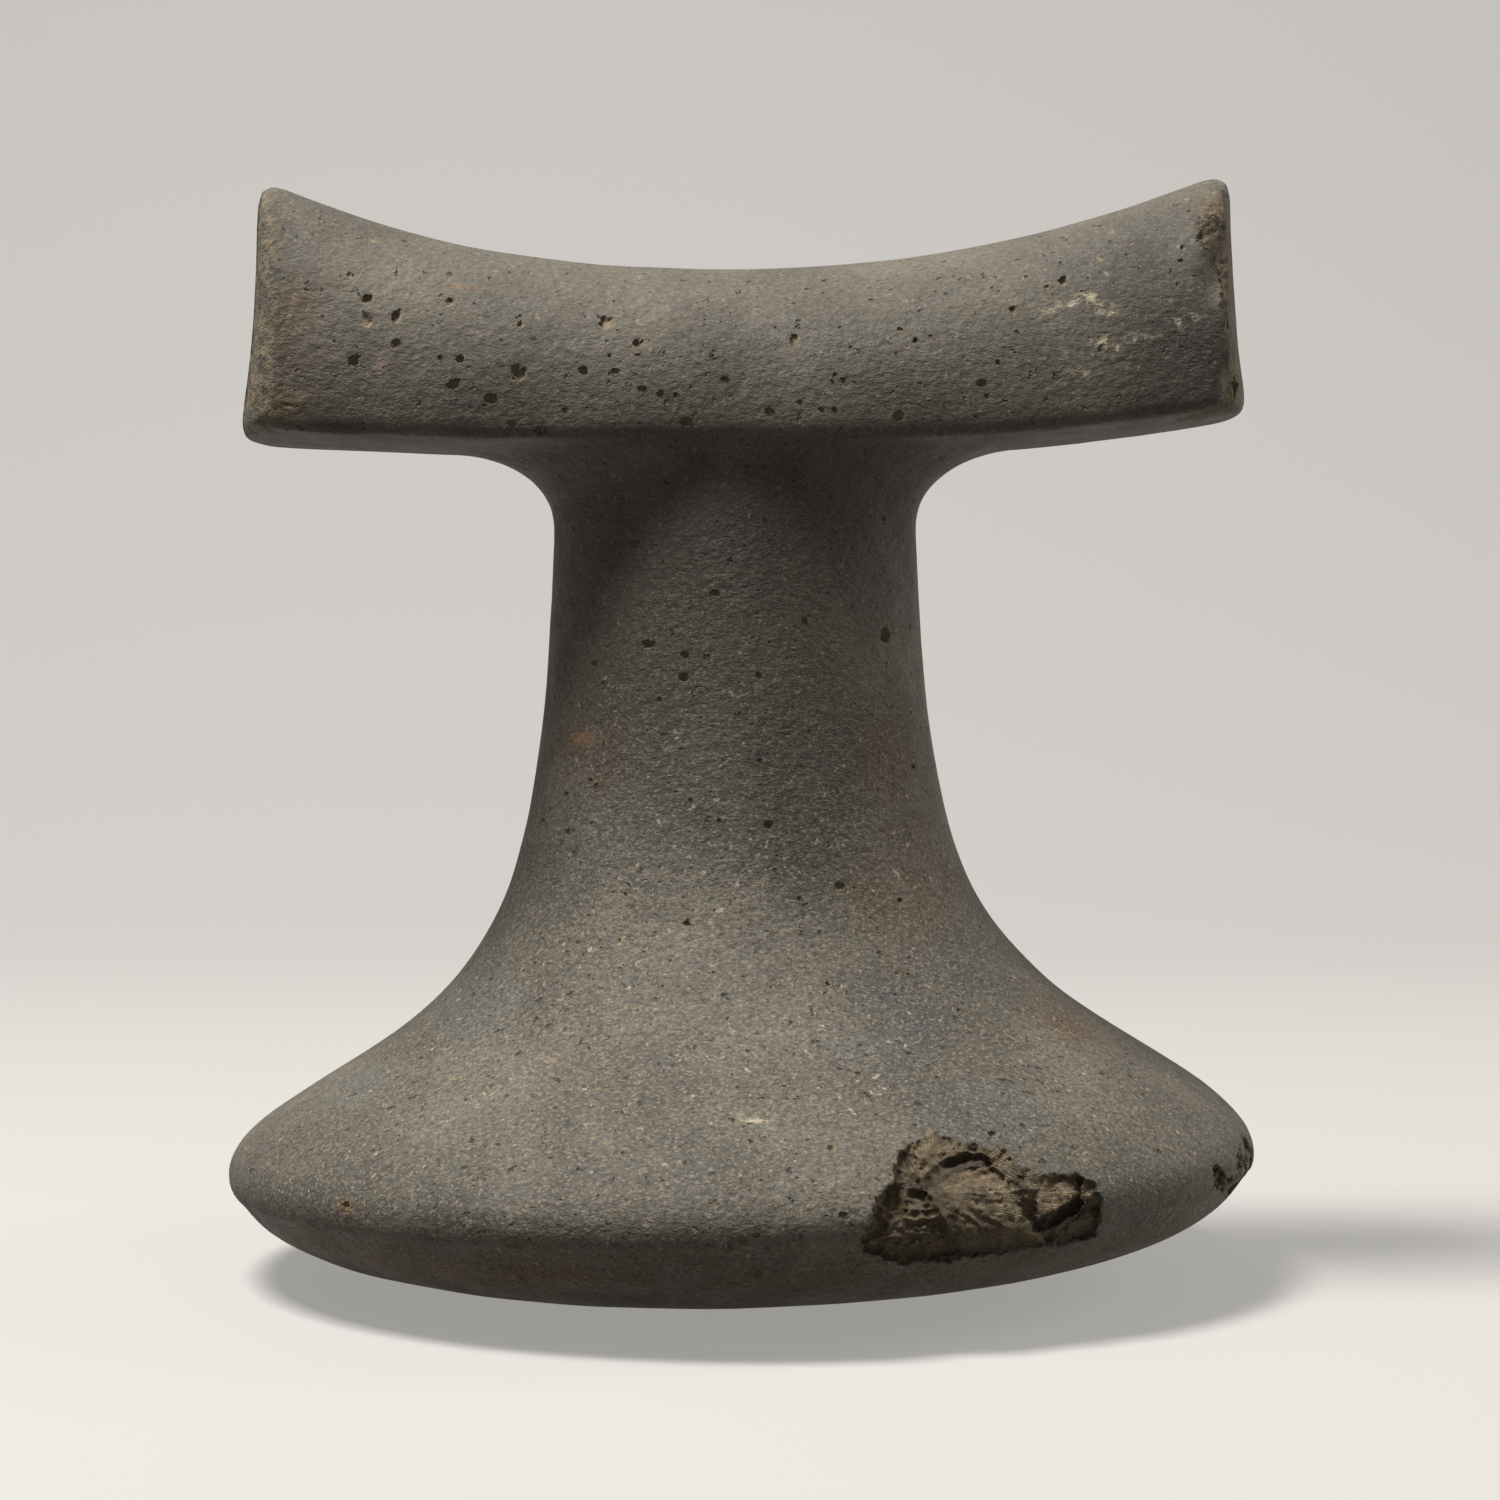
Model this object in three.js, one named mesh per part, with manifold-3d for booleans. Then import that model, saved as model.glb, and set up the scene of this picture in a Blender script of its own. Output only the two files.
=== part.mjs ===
// Poi pounder: a single block of stone with a grip bar, a neck and a flared base.
// Millimetres, +Z up. The grip bar runs along X and the side with the flake scar faces -Y.
// The origin is on the worn flat that the stone stands on, under the middle of the grip bar.
import * as THREE from 'three';
import { mergeVertices } from 'three/addons/utils/BufferGeometryUtils.js';
import Module from 'manifold-3d';

// The sole and the rim
const restRadius = 15; // the worn flat in the middle of the sole
const restOffset = -4; // the sole is lowest a little to the left of the middle
const rimRadius = 69.7;
const rimHeight = 16.5; // the widest ring above the worn flat
const rimOffset = -0.4;

// The neck and the bar
const neckWidth = 49.2; // along X, just under the bar
const neckDepth = 43; // along Y
const neckOffset = -1.2; // the neck stands a little to the left of the bar's middle
const undersideHeight = 111.7; // the bar's lower edges at the middle, above the worn flat
const crestHeight = 136; // the lowest point of the bar's crest
const barEndRadius = 65.3; // from the middle of the bar to the top of an end face
const barEndFlare = 2.3; // how far each end face leans out towards its foot
const barEndBulge = 3; // how far each end face bows out between its front and back edges
const barDepth = 48; // at the middle of the bar
const barEndDepth = 42.5;
const hornRiseLeft = 12.4; // the horns above the crest's lowest point
const hornRiseRight = 13.3;
const undersideRiseLeft = 1.6; // the underside climbs towards both ends
const undersideRiseRight = 5.2;
const undersideCrown = 1; // the underside bulges down between its front and back edges

// Edges and fillets
const filletReach = 14; // along the bar, from the neck
const filletDrop = 9.4; // down the sides of the neck
const filletFrontDrop = 4.2; // down the front and back of the neck
const lowerEdgeRound = 1.2;
const cornerRound = 2.2; // the upright edges of the end faces
const hornRound = 3; // where the crest turns down into an end face

// The stone isn't quite true: the rim and the flare rise to the right
const rimTilt = 1.2;
const flareTilt = 2.5;

// The turned outline between the named sizes. Slopes are in degrees above the horizontal.
const restEdgeSlope = 1.8;
const soleEdgeRadiusShare = 0.93; // of the rim's radius
const soleEdgeHeightShare = 0.53; // of the rim's height
const soleEdgeSlope = 36.6;
const shoulderRadiusShare = 0.858; // of the way from the neck's radius to the rim's
const shoulderHeightShare = 0.078; // of the way from the rim up to the underside
const shoulderSlope = 35.4;
const throatRadiusShare = 0.315;
const throatHeightShare = 0.26;
const throatSlope = 49;
const neckTopShare = 0.86; // where the plain neck ends, of the way from the rim up to the underside

// Handle lengths of the outline's curves, as shares of the distance between their ends
const soleHandleShares = [0.5, 0.17];
const lowerRimHandleShares = [0.41, 0.41];
const upperRimHandleShares = [0.27, 0.14];
const flareHandleShares = [0.35, 0.33];
const neckHandleShares = [0.13, 0.77];

// Flake scars. An azimuth is in degrees round the stone from +X, and a lean is how far the stone's
// surface there faces up. A length runs along the rim or edge, and a width across it.
const scarAzimuth = -65.5; // the large scar at the front right of the rim
const scarLean = 40;
const scarLength = 32;
const scarWidth = 25;
const scarThickness = 13;
const scarDepth = 3.4;
const hollowAzimuth = -57; // the deeper pocket in the scar's right half
const hollowLean = 36;
const hollowLength = 11;
const hollowWidth = 11;
const hollowThickness = 9;
const hollowDepth = 4.4;
const nickAzimuth = -16; // the small chip at the right of the rim
const nickLean = 12;
const nickLength = 15;
const nickWidth = 12;
const nickThickness = 5;
const nickDepth = 0.9;
const flakeAzimuth = -40; // the flaked front edge at the right end of the bar
const flakeLength = 22;
const flakeWidth = 6;
const flakeThickness = 5;
const flakeDepth = 1.5;
const flakeTurnShare = 0.46; // how far up the end's arch the flaking is centred, of a quarter turn
const cornerChipLength = 9; // the lower front corner of the same end
const cornerChipWidth = 6;
const cornerChipThickness = 5;
const cornerChipDepth = 1.4;
const cornerChipTurnShare = 0.02;
const edgeStepShare = 0.05; // a short step up the edge, which gives its direction there

// The arched section of the bar, and how its crest and underside climb towards the ends
const archPower = 2.35;
const crestPowerLeft = 2.5;
const crestPowerRight = 2;
const undersidePower = 2.7;
const archTopShare = 0.93; // of the quarter turn that the arch's rings go through

// The mesh: points round each ring, a multiple of four, and rings along each stretch
const ringPoints = 72;
const endPoints = 4; // on half of an end face
const cornerPoints = 3; // round an upright edge
const hornPoints = 2; // along the turn of the crest at a horn
const soleRings = 8;
const rimRings = 4;
const flareRings = 6;
const neckRings = 11;
const filletRings = 6;
const undersideRings = 3;
const edgeRings = 3;
const archRings = 12;
const scarColumns = 24;
const scarRows = 14;

const radians = THREE.MathUtils.degToRad;
const lerp = THREE.MathUtils.lerp;
const clamp = THREE.MathUtils.clamp;
const quarterPoints = ringPoints / 4;
const quarterTurn = Math.PI / 2;

// A cubic curve of the outline from one anchor to the next
function outlineCurve(from, to, handleShares) {
  const distance = from.place.distanceTo(to.place);
  const leaving = from.direction.clone().multiplyScalar(distance * handleShares[0]);
  const arriving = to.direction.clone().multiplyScalar(distance * handleShares[1]);
  return new THREE.CubicBezierCurve(
    from.place,
    from.place.clone().add(leaving),
    to.place.clone().sub(arriving),
    to.place,
  );
}

function anchor(radius, height, angle) {
  return {
    place: new THREE.Vector2(radius, height),
    direction: new THREE.Vector2(Math.cos(radians(angle)), Math.sin(radians(angle))),
  };
}

// Radius and height of each ring from the edge of the worn flat up to the neck
function turnedOutline() {
  const neckRadius = neckWidth / 2;
  const climb = undersideHeight - rimHeight;
  const spread = rimRadius - neckRadius;
  const rest = anchor(restRadius, 0, restEdgeSlope);
  const soleEdge = anchor(rimRadius * soleEdgeRadiusShare, rimHeight * soleEdgeHeightShare, soleEdgeSlope);
  const rim = anchor(rimRadius, rimHeight, 90);
  const shoulder = anchor(
    neckRadius + spread * shoulderRadiusShare,
    rimHeight + climb * shoulderHeightShare,
    180 - shoulderSlope,
  );
  const throat = anchor(
    neckRadius + spread * throatRadiusShare,
    rimHeight + climb * throatHeightShare,
    180 - throatSlope,
  );
  const neckTop = anchor(neckRadius, undersideHeight, 90);
  const stretches = [
    [outlineCurve(rest, soleEdge, soleHandleShares), soleRings],
    [outlineCurve(soleEdge, rim, lowerRimHandleShares), rimRings],
    [outlineCurve(rim, shoulder, upperRimHandleShares), rimRings],
    [outlineCurve(shoulder, throat, flareHandleShares), flareRings],
    [outlineCurve(throat, neckTop, neckHandleShares), neckRings],
  ];
  const points = [rest.place];
  for (const [curve, rings] of stretches) {
    points.push(...curve.getSpacedPoints(rings).slice(1));
  }
  const plainNeckTop = rimHeight + climb * neckTopShare;
  return points.filter((point) => point.y < plainNeckTop);
}

// A point of a turned ring. The ring's centre, tilt and roundness change with its height.
function turnedPoint(radius, height, angle) {
  const climbShare = clamp((height - rimHeight) / (undersideHeight - rimHeight), 0, 1);
  const soleShare = clamp((radius - restRadius) / restRadius, 0, 1);
  const belowRim = height < rimHeight;
  const centre = belowRim
    ? lerp(restOffset, rimOffset, soleShare)
    : lerp(rimOffset, neckOffset, Math.min(1, climbShare * 2));
  const throatShare = clamp(climbShare / throatHeightShare, 0, 1);
  const fadeShare = clamp((1 - climbShare) / (1 - throatHeightShare), 0, 1);
  const tilt = belowRim ? rimTilt * soleShare : lerp(rimTilt, flareTilt, throatShare) * fadeShare;
  const roundness = lerp(1, neckDepth / neckWidth, THREE.MathUtils.smoothstep(climbShare, 0, 1));
  const across = radius * Math.cos(angle);
  return new THREE.Vector3(
    centre + across,
    radius * roundness * Math.sin(angle),
    height + across * Math.tan(radians(tilt)),
  );
}

// How far along the bar a place is, from 0 at the middle to 1 at the ends
function barShare(x) {
  return Math.min(1, Math.abs(x) / (barEndRadius + barEndFlare));
}

function undersideEdgeHeight(x) {
  const rise = x < 0 ? undersideRiseLeft : undersideRiseRight;
  return undersideHeight + rise * barShare(x) ** undersidePower;
}

function barHalfDepth(x) {
  return lerp(barDepth, barEndDepth, barShare(x) ** 2) / 2;
}

function undersideAt(x, y) {
  const across = Math.min(1, Math.abs(y) / barHalfDepth(x));
  return undersideEdgeHeight(x) - undersideCrown * (1 - across ** 2);
}

function crestAt(x) {
  const rise = x < 0 ? hornRiseLeft : hornRiseRight;
  const power = x < 0 ? crestPowerLeft : crestPowerRight;
  const climb = rise * Math.min(1, Math.abs(x) / barEndRadius) ** power;
  const turn = clamp((Math.abs(x) - barEndRadius) / hornRound + 1, 0, 1);
  return crestHeight + climb - hornRound * (1 - Math.sqrt(1 - turn ** 2));
}

// Plan of one ring of the bar, in one quarter: an end face, a rounded upright edge, then the long side.
// heightShare goes from 0 at the lower edge to 1 at the crest, depthShare from 1 down to 0.
function barPlanPoint(step, heightShare, depthShare, inset) {
  const reach = barEndRadius + barEndFlare * (1 - heightShare) ** 2 - inset;
  const endHalfDepth = barHalfDepth(reach) * depthShare - inset;
  const bowedEnd = (y) => reach - barEndBulge * (y / barHalfDepth(reach)) ** 2;
  const round = Math.min(cornerRound, endHalfDepth / 2);
  const cornerX = bowedEnd(endHalfDepth);
  if (step <= endPoints) {
    const y = ((endHalfDepth - round) * step) / endPoints;
    return new THREE.Vector2(bowedEnd(y), y);
  }
  const sideStart = cornerX - round;
  const sideY = (x) => barHalfDepth(x) * depthShare - inset;
  if (step < endPoints + cornerPoints) {
    const corner = new THREE.QuadraticBezierCurve(
      new THREE.Vector2(bowedEnd(endHalfDepth - round), endHalfDepth - round),
      new THREE.Vector2(cornerX, endHalfDepth),
      new THREE.Vector2(sideStart, sideY(sideStart)),
    );
    return corner.getPoint((step - endPoints) / cornerPoints);
  }
  const sideStep = step - endPoints - cornerPoints;
  if (sideStep < hornPoints) {
    const hornX = sideStart - hornRound * (sideStep / hornPoints) ** 2;
    return new THREE.Vector2(hornX, sideY(hornX));
  }
  const longStart = sideStart - hornRound;
  const longPoints = quarterPoints - endPoints - cornerPoints - hornPoints;
  const x = longStart * (1 - (sideStep - hornPoints) / longPoints);
  return new THREE.Vector2(x, sideY(x));
}

// The same plan point for any index round the ring, mirrored from the first quarter
function barPlan(index, heightShare, depthShare, inset) {
  const half = ringPoints / 2;
  const withinHalf = index % half;
  const mirroredX = index > quarterPoints && index < half + quarterPoints;
  const mirroredY = index > half;
  const step = withinHalf <= quarterPoints ? withinHalf : half - withinHalf;
  const point = barPlanPoint(step, heightShare, depthShare, inset);
  return new THREE.Vector2(mirroredX ? -point.x : point.x, mirroredY ? -point.y : point.y);
}

// Rings of the fillet that carries the neck into the bar's underside. turn goes from 0 on the neck
// to a quarter turn on the underside.
function filletPoint(index, turn) {
  const angle = (index / ringPoints) * 2 * Math.PI;
  const spread = 1 - Math.cos(turn);
  const edge = barPlan(quarterPoints, 0, 1, lowerEdgeRound).y;
  const frontReach = edge - neckDepth / 2 - lowerEdgeRound / 2;
  const x = neckOffset + (neckWidth / 2 + filletReach * spread) * Math.cos(angle);
  const y = (neckDepth / 2 + frontReach * spread) * Math.sin(angle);
  const drop = lerp(filletDrop, filletFrontDrop, Math.sin(angle) ** 2);
  return new THREE.Vector3(x, y, undersideAt(x, y) - drop * (1 - Math.sin(turn)));
}

// Rings of the flat underside, from the fillet's edge out to the start of the lower edge's rounding
function undersidePoint(index, share) {
  const inner = filletPoint(index, quarterTurn);
  const outer = barPlan(index, 0, 1, lowerEdgeRound);
  const x = lerp(inner.x, outer.x, share);
  const y = lerp(inner.y, outer.y, share);
  return new THREE.Vector3(x, y, undersideAt(x, y));
}

// Rings of the rounded lower edge. turn goes from 0 on the underside to a quarter turn on the faces.
function lowerEdgePoint(index, turn) {
  const inset = lowerEdgeRound * (1 - Math.sin(turn));
  const plan = barPlan(index, 0, 1, inset);
  const climb = lowerEdgeRound * (1 - Math.cos(turn));
  return new THREE.Vector3(plan.x, plan.y, undersideAt(plan.x, plan.y) + climb);
}

// Rings of the arched faces. turn goes from 0 at the lower edge to nearly a quarter turn at the crest.
function archPoint(index, turn) {
  const depthShare = Math.cos(turn) ** (2 / archPower);
  const heightShare = Math.sin(turn) ** (2 / archPower);
  const plan = barPlan(index, heightShare, depthShare, 0);
  const foot = undersideEdgeHeight(plan.x) + lowerEdgeRound;
  return new THREE.Vector3(plan.x, plan.y, lerp(foot, crestAt(plan.x), heightShare));
}

// Every ring of the stone from the worn flat to the crest
function stoneRings() {
  const rings = [];
  const ring = (pointAt) => rings.push(Array.from({ length: ringPoints }, (_, index) => pointAt(index)));
  for (const { x: radius, y: height } of turnedOutline()) {
    ring((index) => turnedPoint(radius, height, (index / ringPoints) * 2 * Math.PI));
  }
  for (let step = 0; step <= filletRings; step += 1) {
    ring((index) => filletPoint(index, (quarterTurn * step) / filletRings));
  }
  for (let step = 1; step < undersideRings; step += 1) {
    ring((index) => undersidePoint(index, step / undersideRings));
  }
  for (let step = 0; step < edgeRings; step += 1) {
    ring((index) => lowerEdgePoint(index, (quarterTurn * step) / edgeRings));
  }
  for (let step = 0; step <= archRings; step += 1) {
    ring((index) => archPoint(index, (quarterTurn * archTopShare * step) / archRings));
  }
  return rings;
}

// The closed skin: bands between the rings, a fan over the worn flat and a strip along the crest
function stoneGeometry() {
  const rings = stoneRings();
  const points = rings.flat();
  const triangles = [];
  for (let level = 0; level + 1 < rings.length; level += 1) {
    for (let index = 0; index < ringPoints; index += 1) {
      const next = (index + 1) % ringPoints;
      const low = level * ringPoints;
      const high = low + ringPoints;
      triangles.push(low + index, low + next, high + next);
      triangles.push(low + index, high + next, high + index);
    }
  }
  const restCentre = points.length;
  points.push(new THREE.Vector3(restOffset, 0, 0));
  for (let index = 0; index < ringPoints; index += 1) {
    triangles.push(restCentre, (index + 1) % ringPoints, index);
  }
  const top = (rings.length - 1) * ringPoints;
  const half = ringPoints / 2;
  const opposite = (index) => top + ((ringPoints - index) % ringPoints);
  for (let index = 0; index < half; index += 1) {
    if (index > 0) {
      triangles.push(top + index, top + index + 1, opposite(index));
    }
    if (index + 1 < half) {
      triangles.push(top + index + 1, opposite(index + 1), opposite(index));
    }
  }
  const geometry = new THREE.BufferGeometry().setFromPoints(points);
  geometry.setIndex(triangles);
  return geometry;
}

// The place on the rim where the surface leans up by a given angle
function rimPlace(azimuth, lean) {
  const outline = turnedOutline();
  const leanAfter = (step) => {
    const run = outline[step + 1].clone().sub(outline[step]);
    return Math.atan2(-run.x, run.y);
  };
  const step = outline.findIndex((_, index) => index > soleRings && leanAfter(index) >= radians(lean));
  return turnedPoint(outline[step].x, outline[step].y, radians(azimuth));
}

// The direction that faces away from the stone at an azimuth, leaning up
function facing(azimuth, lean) {
  const level = Math.cos(radians(lean));
  return new THREE.Vector3(
    level * Math.cos(radians(azimuth)),
    level * Math.sin(radians(azimuth)),
    Math.sin(radians(lean)),
  );
}

// A scar's tool: a flattened ball with its length along one direction, sunk to a depth at a place
function scarTool(place, outward, along, length, width, thickness, depth) {
  const across = new THREE.Vector3().crossVectors(outward, along).normalize();
  const truedAlong = new THREE.Vector3().crossVectors(across, outward).normalize();
  const tool = new THREE.SphereGeometry(1, scarColumns, scarRows);
  tool.scale(length / 2, width / 2, thickness / 2);
  const turned = new THREE.Matrix4().makeBasis(truedAlong, across, outward);
  turned.setPosition(place.clone().addScaledVector(outward, thickness / 2 - depth));
  return tool.applyMatrix4(turned);
}

function rimScar(azimuth, lean, length, width, thickness, depth) {
  const outward = facing(azimuth, lean);
  const along = facing(azimuth + 90, 0);
  return scarTool(rimPlace(azimuth, lean), outward, along, length, width, thickness, depth);
}

// A scar on the front upright edge at the right end of the bar
function edgeScar(turnShare, length, width, thickness, depth) {
  const index = ringPoints - endPoints - cornerPoints / 2;
  const place = archPoint(index, quarterTurn * turnShare);
  const further = archPoint(index, quarterTurn * (turnShare + edgeStepShare));
  const along = further.sub(place).normalize();
  return scarTool(place, facing(flakeAzimuth, 0), along, length, width, thickness, depth);
}

const wasm = await Module();
wasm.setup();

function toSolid(geometry) {
  const bare = geometry.clone();
  bare.deleteAttribute('normal');
  bare.deleteAttribute('uv');
  const welded = mergeVertices(bare);
  return new wasm.Manifold(
    new wasm.Mesh({
      numProp: 3,
      vertProperties: new Float32Array(welded.attributes.position.array),
      triVerts: new Uint32Array(welded.index.array),
    }),
  );
}

function toGeometry(solid) {
  const mesh = solid.getMesh();
  const geometry = new THREE.BufferGeometry();
  geometry.setAttribute('position', new THREE.BufferAttribute(mesh.vertProperties, 3));
  geometry.setIndex(new THREE.BufferAttribute(mesh.triVerts, 1));
  geometry.computeVertexNormals();
  return geometry;
}

function scarredStone() {
  const tools = [
    rimScar(scarAzimuth, scarLean, scarLength, scarWidth, scarThickness, scarDepth),
    rimScar(hollowAzimuth, hollowLean, hollowLength, hollowWidth, hollowThickness, hollowDepth),
    rimScar(nickAzimuth, nickLean, nickLength, nickWidth, nickThickness, nickDepth),
    edgeScar(flakeTurnShare, flakeLength, flakeWidth, flakeThickness, flakeDepth),
    edgeScar(cornerChipTurnShare, cornerChipLength, cornerChipWidth, cornerChipThickness, cornerChipDepth),
  ];
  const whole = toSolid(stoneGeometry());
  return toGeometry(tools.reduce((stone, tool) => stone.subtract(toSolid(tool)), whole));
}

const basalt = new THREE.MeshStandardMaterial({ color: 0x58544e, roughness: 0.85, metalness: 0 });

const pounder = new THREE.Mesh(scarredStone(), basalt);
pounder.name = 'stone_pounder';

const object = new THREE.Group();
object.add(pounder);

export default object;
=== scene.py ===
"""Poi pounder: the looks of the stone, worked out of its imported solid.

The finished stone is in metres, +Z up, with its grip bar along X and its large flake scar
towards -Y. While it is shaped it is in millimetres. Places taken from the photograph are in its
pixels.
"""

import math
import random
from typing import NamedTuple

import bmesh
import bpy
import numpy as np
from mathutils import Matrix, Vector, noise
from mathutils.bvhtree import BVHTree
from mathutils.kdtree import KDTree


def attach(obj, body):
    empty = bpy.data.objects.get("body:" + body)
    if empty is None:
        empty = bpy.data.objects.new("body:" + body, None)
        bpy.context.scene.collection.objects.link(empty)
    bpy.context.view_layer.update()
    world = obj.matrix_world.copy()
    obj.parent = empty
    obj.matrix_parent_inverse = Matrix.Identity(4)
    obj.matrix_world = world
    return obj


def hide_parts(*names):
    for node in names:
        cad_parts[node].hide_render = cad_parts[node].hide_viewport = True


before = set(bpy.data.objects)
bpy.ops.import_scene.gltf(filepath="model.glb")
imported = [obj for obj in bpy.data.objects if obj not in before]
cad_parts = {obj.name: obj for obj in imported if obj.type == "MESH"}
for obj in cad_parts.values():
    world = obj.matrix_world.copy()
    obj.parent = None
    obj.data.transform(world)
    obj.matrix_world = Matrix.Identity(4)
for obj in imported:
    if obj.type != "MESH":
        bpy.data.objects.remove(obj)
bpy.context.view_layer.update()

# The photograph's camera: its picture in pixels, its place in millimetres
picture_size = 1500
picture_middle = picture_size / 2
focal_pixels = 3694
horizon_pixels = 102  # how far the camera's own level lies above the picture's middle
camera_place = Vector((0.8, -502.4, 84.7))
camera_pitch = math.atan(horizon_pixels / focal_pixels)
camera_turn = Matrix.Rotation(math.pi / 2 - camera_pitch, 3, "X")
sensor_width = 36
pixel_size = -camera_place.y / focal_pixels  # at the middle of the stone

# The mesh of the stone
metre = 1000
merge_gap = 0.001  # points nearer to each other than this are one
joined_turn = math.radians(25)  # the solid's triangles are joined in pairs that turn less than this
joined_shape = math.radians(70)  # and whose corners then are no further than this from square
rounding_levels = 2
fine_spacing = 0.8  # between points of the even mesh
plain_share = 0.18  # of its triangles that stay
broken_spacing = 0.29  # in broken stone
pecked_spacing = 0.6  # along the pecked edges
mark_spacing = 0.6  # where a stain has a clear outline
finest_spacing = 0.16  # in the smallest bubbles
refining_rounds = 5
long_edge = 1.5  # an edge longer than this many times the wanted spacing is split
split_share = 0.7  # of the even spacing: where edges are shorter, they were split
broken_margin = 2  # pixels round a broken place that are fine too
pecked_least = 0.3  # how much of a pecked edge has to be there for the mesh to be fine
bubble_steps = 7.2  # points across a bubble
bubble_reach = 0.62  # how far round a bubble the mesh is fine, as a share of its size
smoothing_rounds = 3
smoothing_share = 0.5
outside = 300  # a distance from the middle that is well outside the stone
map_turn = math.radians(66)  # faces that turn less than this lie side by side in the export's map
map_margin = 0.003

# The sector of the rim that the large scar lies in, as the solid has it
scar_azimuths = (math.radians(-84), math.radians(-47))
scar_heights = (7.0, 31.0)
scar_sunk = (0.03, 0.3)  # how far below the rim its stone lies where filling starts and is full

# Where the unbroken rim turns under: a worn ridge just below its widest place
ridge_height = 14.0
ridge_rise = 0.026  # how much higher it lies for each millimetre further right
ridge_sink = 0.7  # how far the sole draws back below it
ridge_width = 2.2
ridge_calm = 30  # nearer the stone's middle than this, the sole draws back less

# Noise: how many octaves each pattern has, and where in the noise it starts, so that all differ
cloud_patterns = {
    "rough": (3, 1.0), "corner": (2, 2.0), "waves": (2, 3.0), "teeth_across": (3, 4.0),
    "bulb": (2, 5.0), "nick": (3, 6.0), "chips": (2, 7.0), "teeth_down": (3, 8.0),
    "hollow": (3, 9.0),
}
cloud_falloff = 1.0  # how fast the octaves get weaker
cloud_step = 2.0  # each octave is this many times finer than the one before

facet_step = 10  # pixels over which the slopes of facets are given


class Facet(NamedTuple):
    """A nearly flat piece of broken stone, in the photograph's pixels"""

    outline: tuple
    middle: tuple
    depth: float  # at its middle, in millimetres behind the unbroken stone, along the line of sight
    across: float  # how much deeper it is ten pixels further right
    down: float  # how much deeper it is ten pixels further down
    edge: float  # the width of the step round it, in pixels
    tint: float  # from 0, dark, to 1, light brown; the darkest tints, on the deep step, pocket and groove, are painted shade


# The large scar as a set of facets, painted one over the other
scar_outline = (
    (861, 1240), (868, 1224), (874, 1214), (879, 1199), (887, 1188), (897, 1182), (894, 1172),
    (896, 1163), (902, 1152), (908, 1147), (916, 1139), (925, 1134), (932, 1132), (940, 1136),
    (947, 1136), (958, 1142), (971, 1144), (986, 1146), (1004, 1148), (1008, 1155), (1012, 1159),
    (1022, 1166), (1034, 1171), (1047, 1176), (1061, 1174), (1070, 1176), (1078, 1174), (1086, 1180),
    (1094, 1184), (1098, 1193), (1102, 1202), (1100, 1212), (1100, 1222), (1096, 1230),
    (1094, 1237), (1070, 1243), (1047, 1247), (1026, 1248), (1004, 1253), (976, 1256), (942, 1263),
    (920, 1261), (902, 1265), (884, 1258), (865, 1253),
)
whole_scar = Facet(scar_outline, (980, 1190), 0.9, -0.05, 0.2, 3, 0.5)
upper_shelf = Facet(
    ((890, 1188), (890, 1150), (916, 1128), (975, 1134), (1000, 1144), (996, 1160), (978, 1154),
     (949, 1164), (930, 1181), (912, 1192)),
    (930, 1155), 0.7, 0, 0.3, 3, 0.95,
)
shelf_step = Facet(
    ((930, 1156), (934, 1150), (945, 1145), (968, 1144), (988, 1150), (986, 1158), (974, 1156),
     (950, 1165), (935, 1176)),
    (955, 1158), 0.85, 0, 0.45, 2, 0.85,
)
left_hollow = Facet(
    ((856, 1242), (888, 1186), (914, 1190), (930, 1192), (940, 1218), (962, 1243), (955, 1256),
     (905, 1266), (862, 1258)),
    (900, 1220), 1.6, 0.1, -0.2, 4, 0.85,
)
bulb = Facet(
    ((926, 1192), (930, 1182), (948, 1166), (976, 1156), (992, 1162), (1004, 1176), (1020, 1204),
     (1036, 1228), (1052, 1250), (1004, 1254), (960, 1250), (938, 1216)),
    (985, 1190), 2.2, 0.1, -0.3, 6, 0.75,
)
bulb_top = Facet(
    ((928, 1190), (940, 1180), (953, 1175), (976, 1171), (993, 1176), (1006, 1196), (992, 1192),
     (968, 1186), (945, 1192)),
    (965, 1181), 2.4, 0.1, -0.34, 8, 1.0,
)
bulb_ridge = Facet(
    ((986, 1176), (998, 1176), (1016, 1202), (1028, 1222), (1050, 1246), (1038, 1248), (1020, 1230),
     (1006, 1206)),
    (1015, 1210), 1.2, 0.1, -0.25, 7, 1.0,
)
step_shadow = Facet(
    ((924, 1190), (929, 1180), (938, 1170), (950, 1161), (964, 1156), (980, 1156), (986, 1161),
     (982, 1167), (972, 1168), (962, 1170), (948, 1176), (936, 1187)),
    (955, 1168), 2.1, -0.15, -0.3, 8, 0.2,
)
right_pocket = Facet(
    ((986, 1158), (1008, 1152), (1034, 1168), (1052, 1178), (1044, 1204), (1034, 1224),
     (1022, 1208), (1006, 1184), (996, 1172)),
    (1024, 1192), 1.1, -0.25, 0.4, 6, 0.6,
)
right_brink = Facet(
    ((978, 1138), (1006, 1142), (1016, 1156), (1004, 1164), (990, 1158), (978, 1152)),
    (994, 1152), 0.3, 0, 0.4, 6, 0.7,
)
grey_facet = Facet(
    ((1042, 1177), (1061, 1172), (1079, 1172), (1080, 1198), (1058, 1214), (1036, 1222),
     (1036, 1204)),
    (1060, 1190), 0.4, 0, -0.12, 4, 1.0,
)
# Its near-black tint is painted shade in the hollow under the grey facet
dark_pocket = Facet(
    ((1033, 1226), (1041, 1220), (1055, 1214), (1069, 1207), (1080, 1198), (1084, 1203),
     (1074, 1213), (1059, 1223), (1046, 1229), (1037, 1231)),
    (1058, 1219), 2.9, 0, 0.2, 5, 0.05,
)
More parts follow.
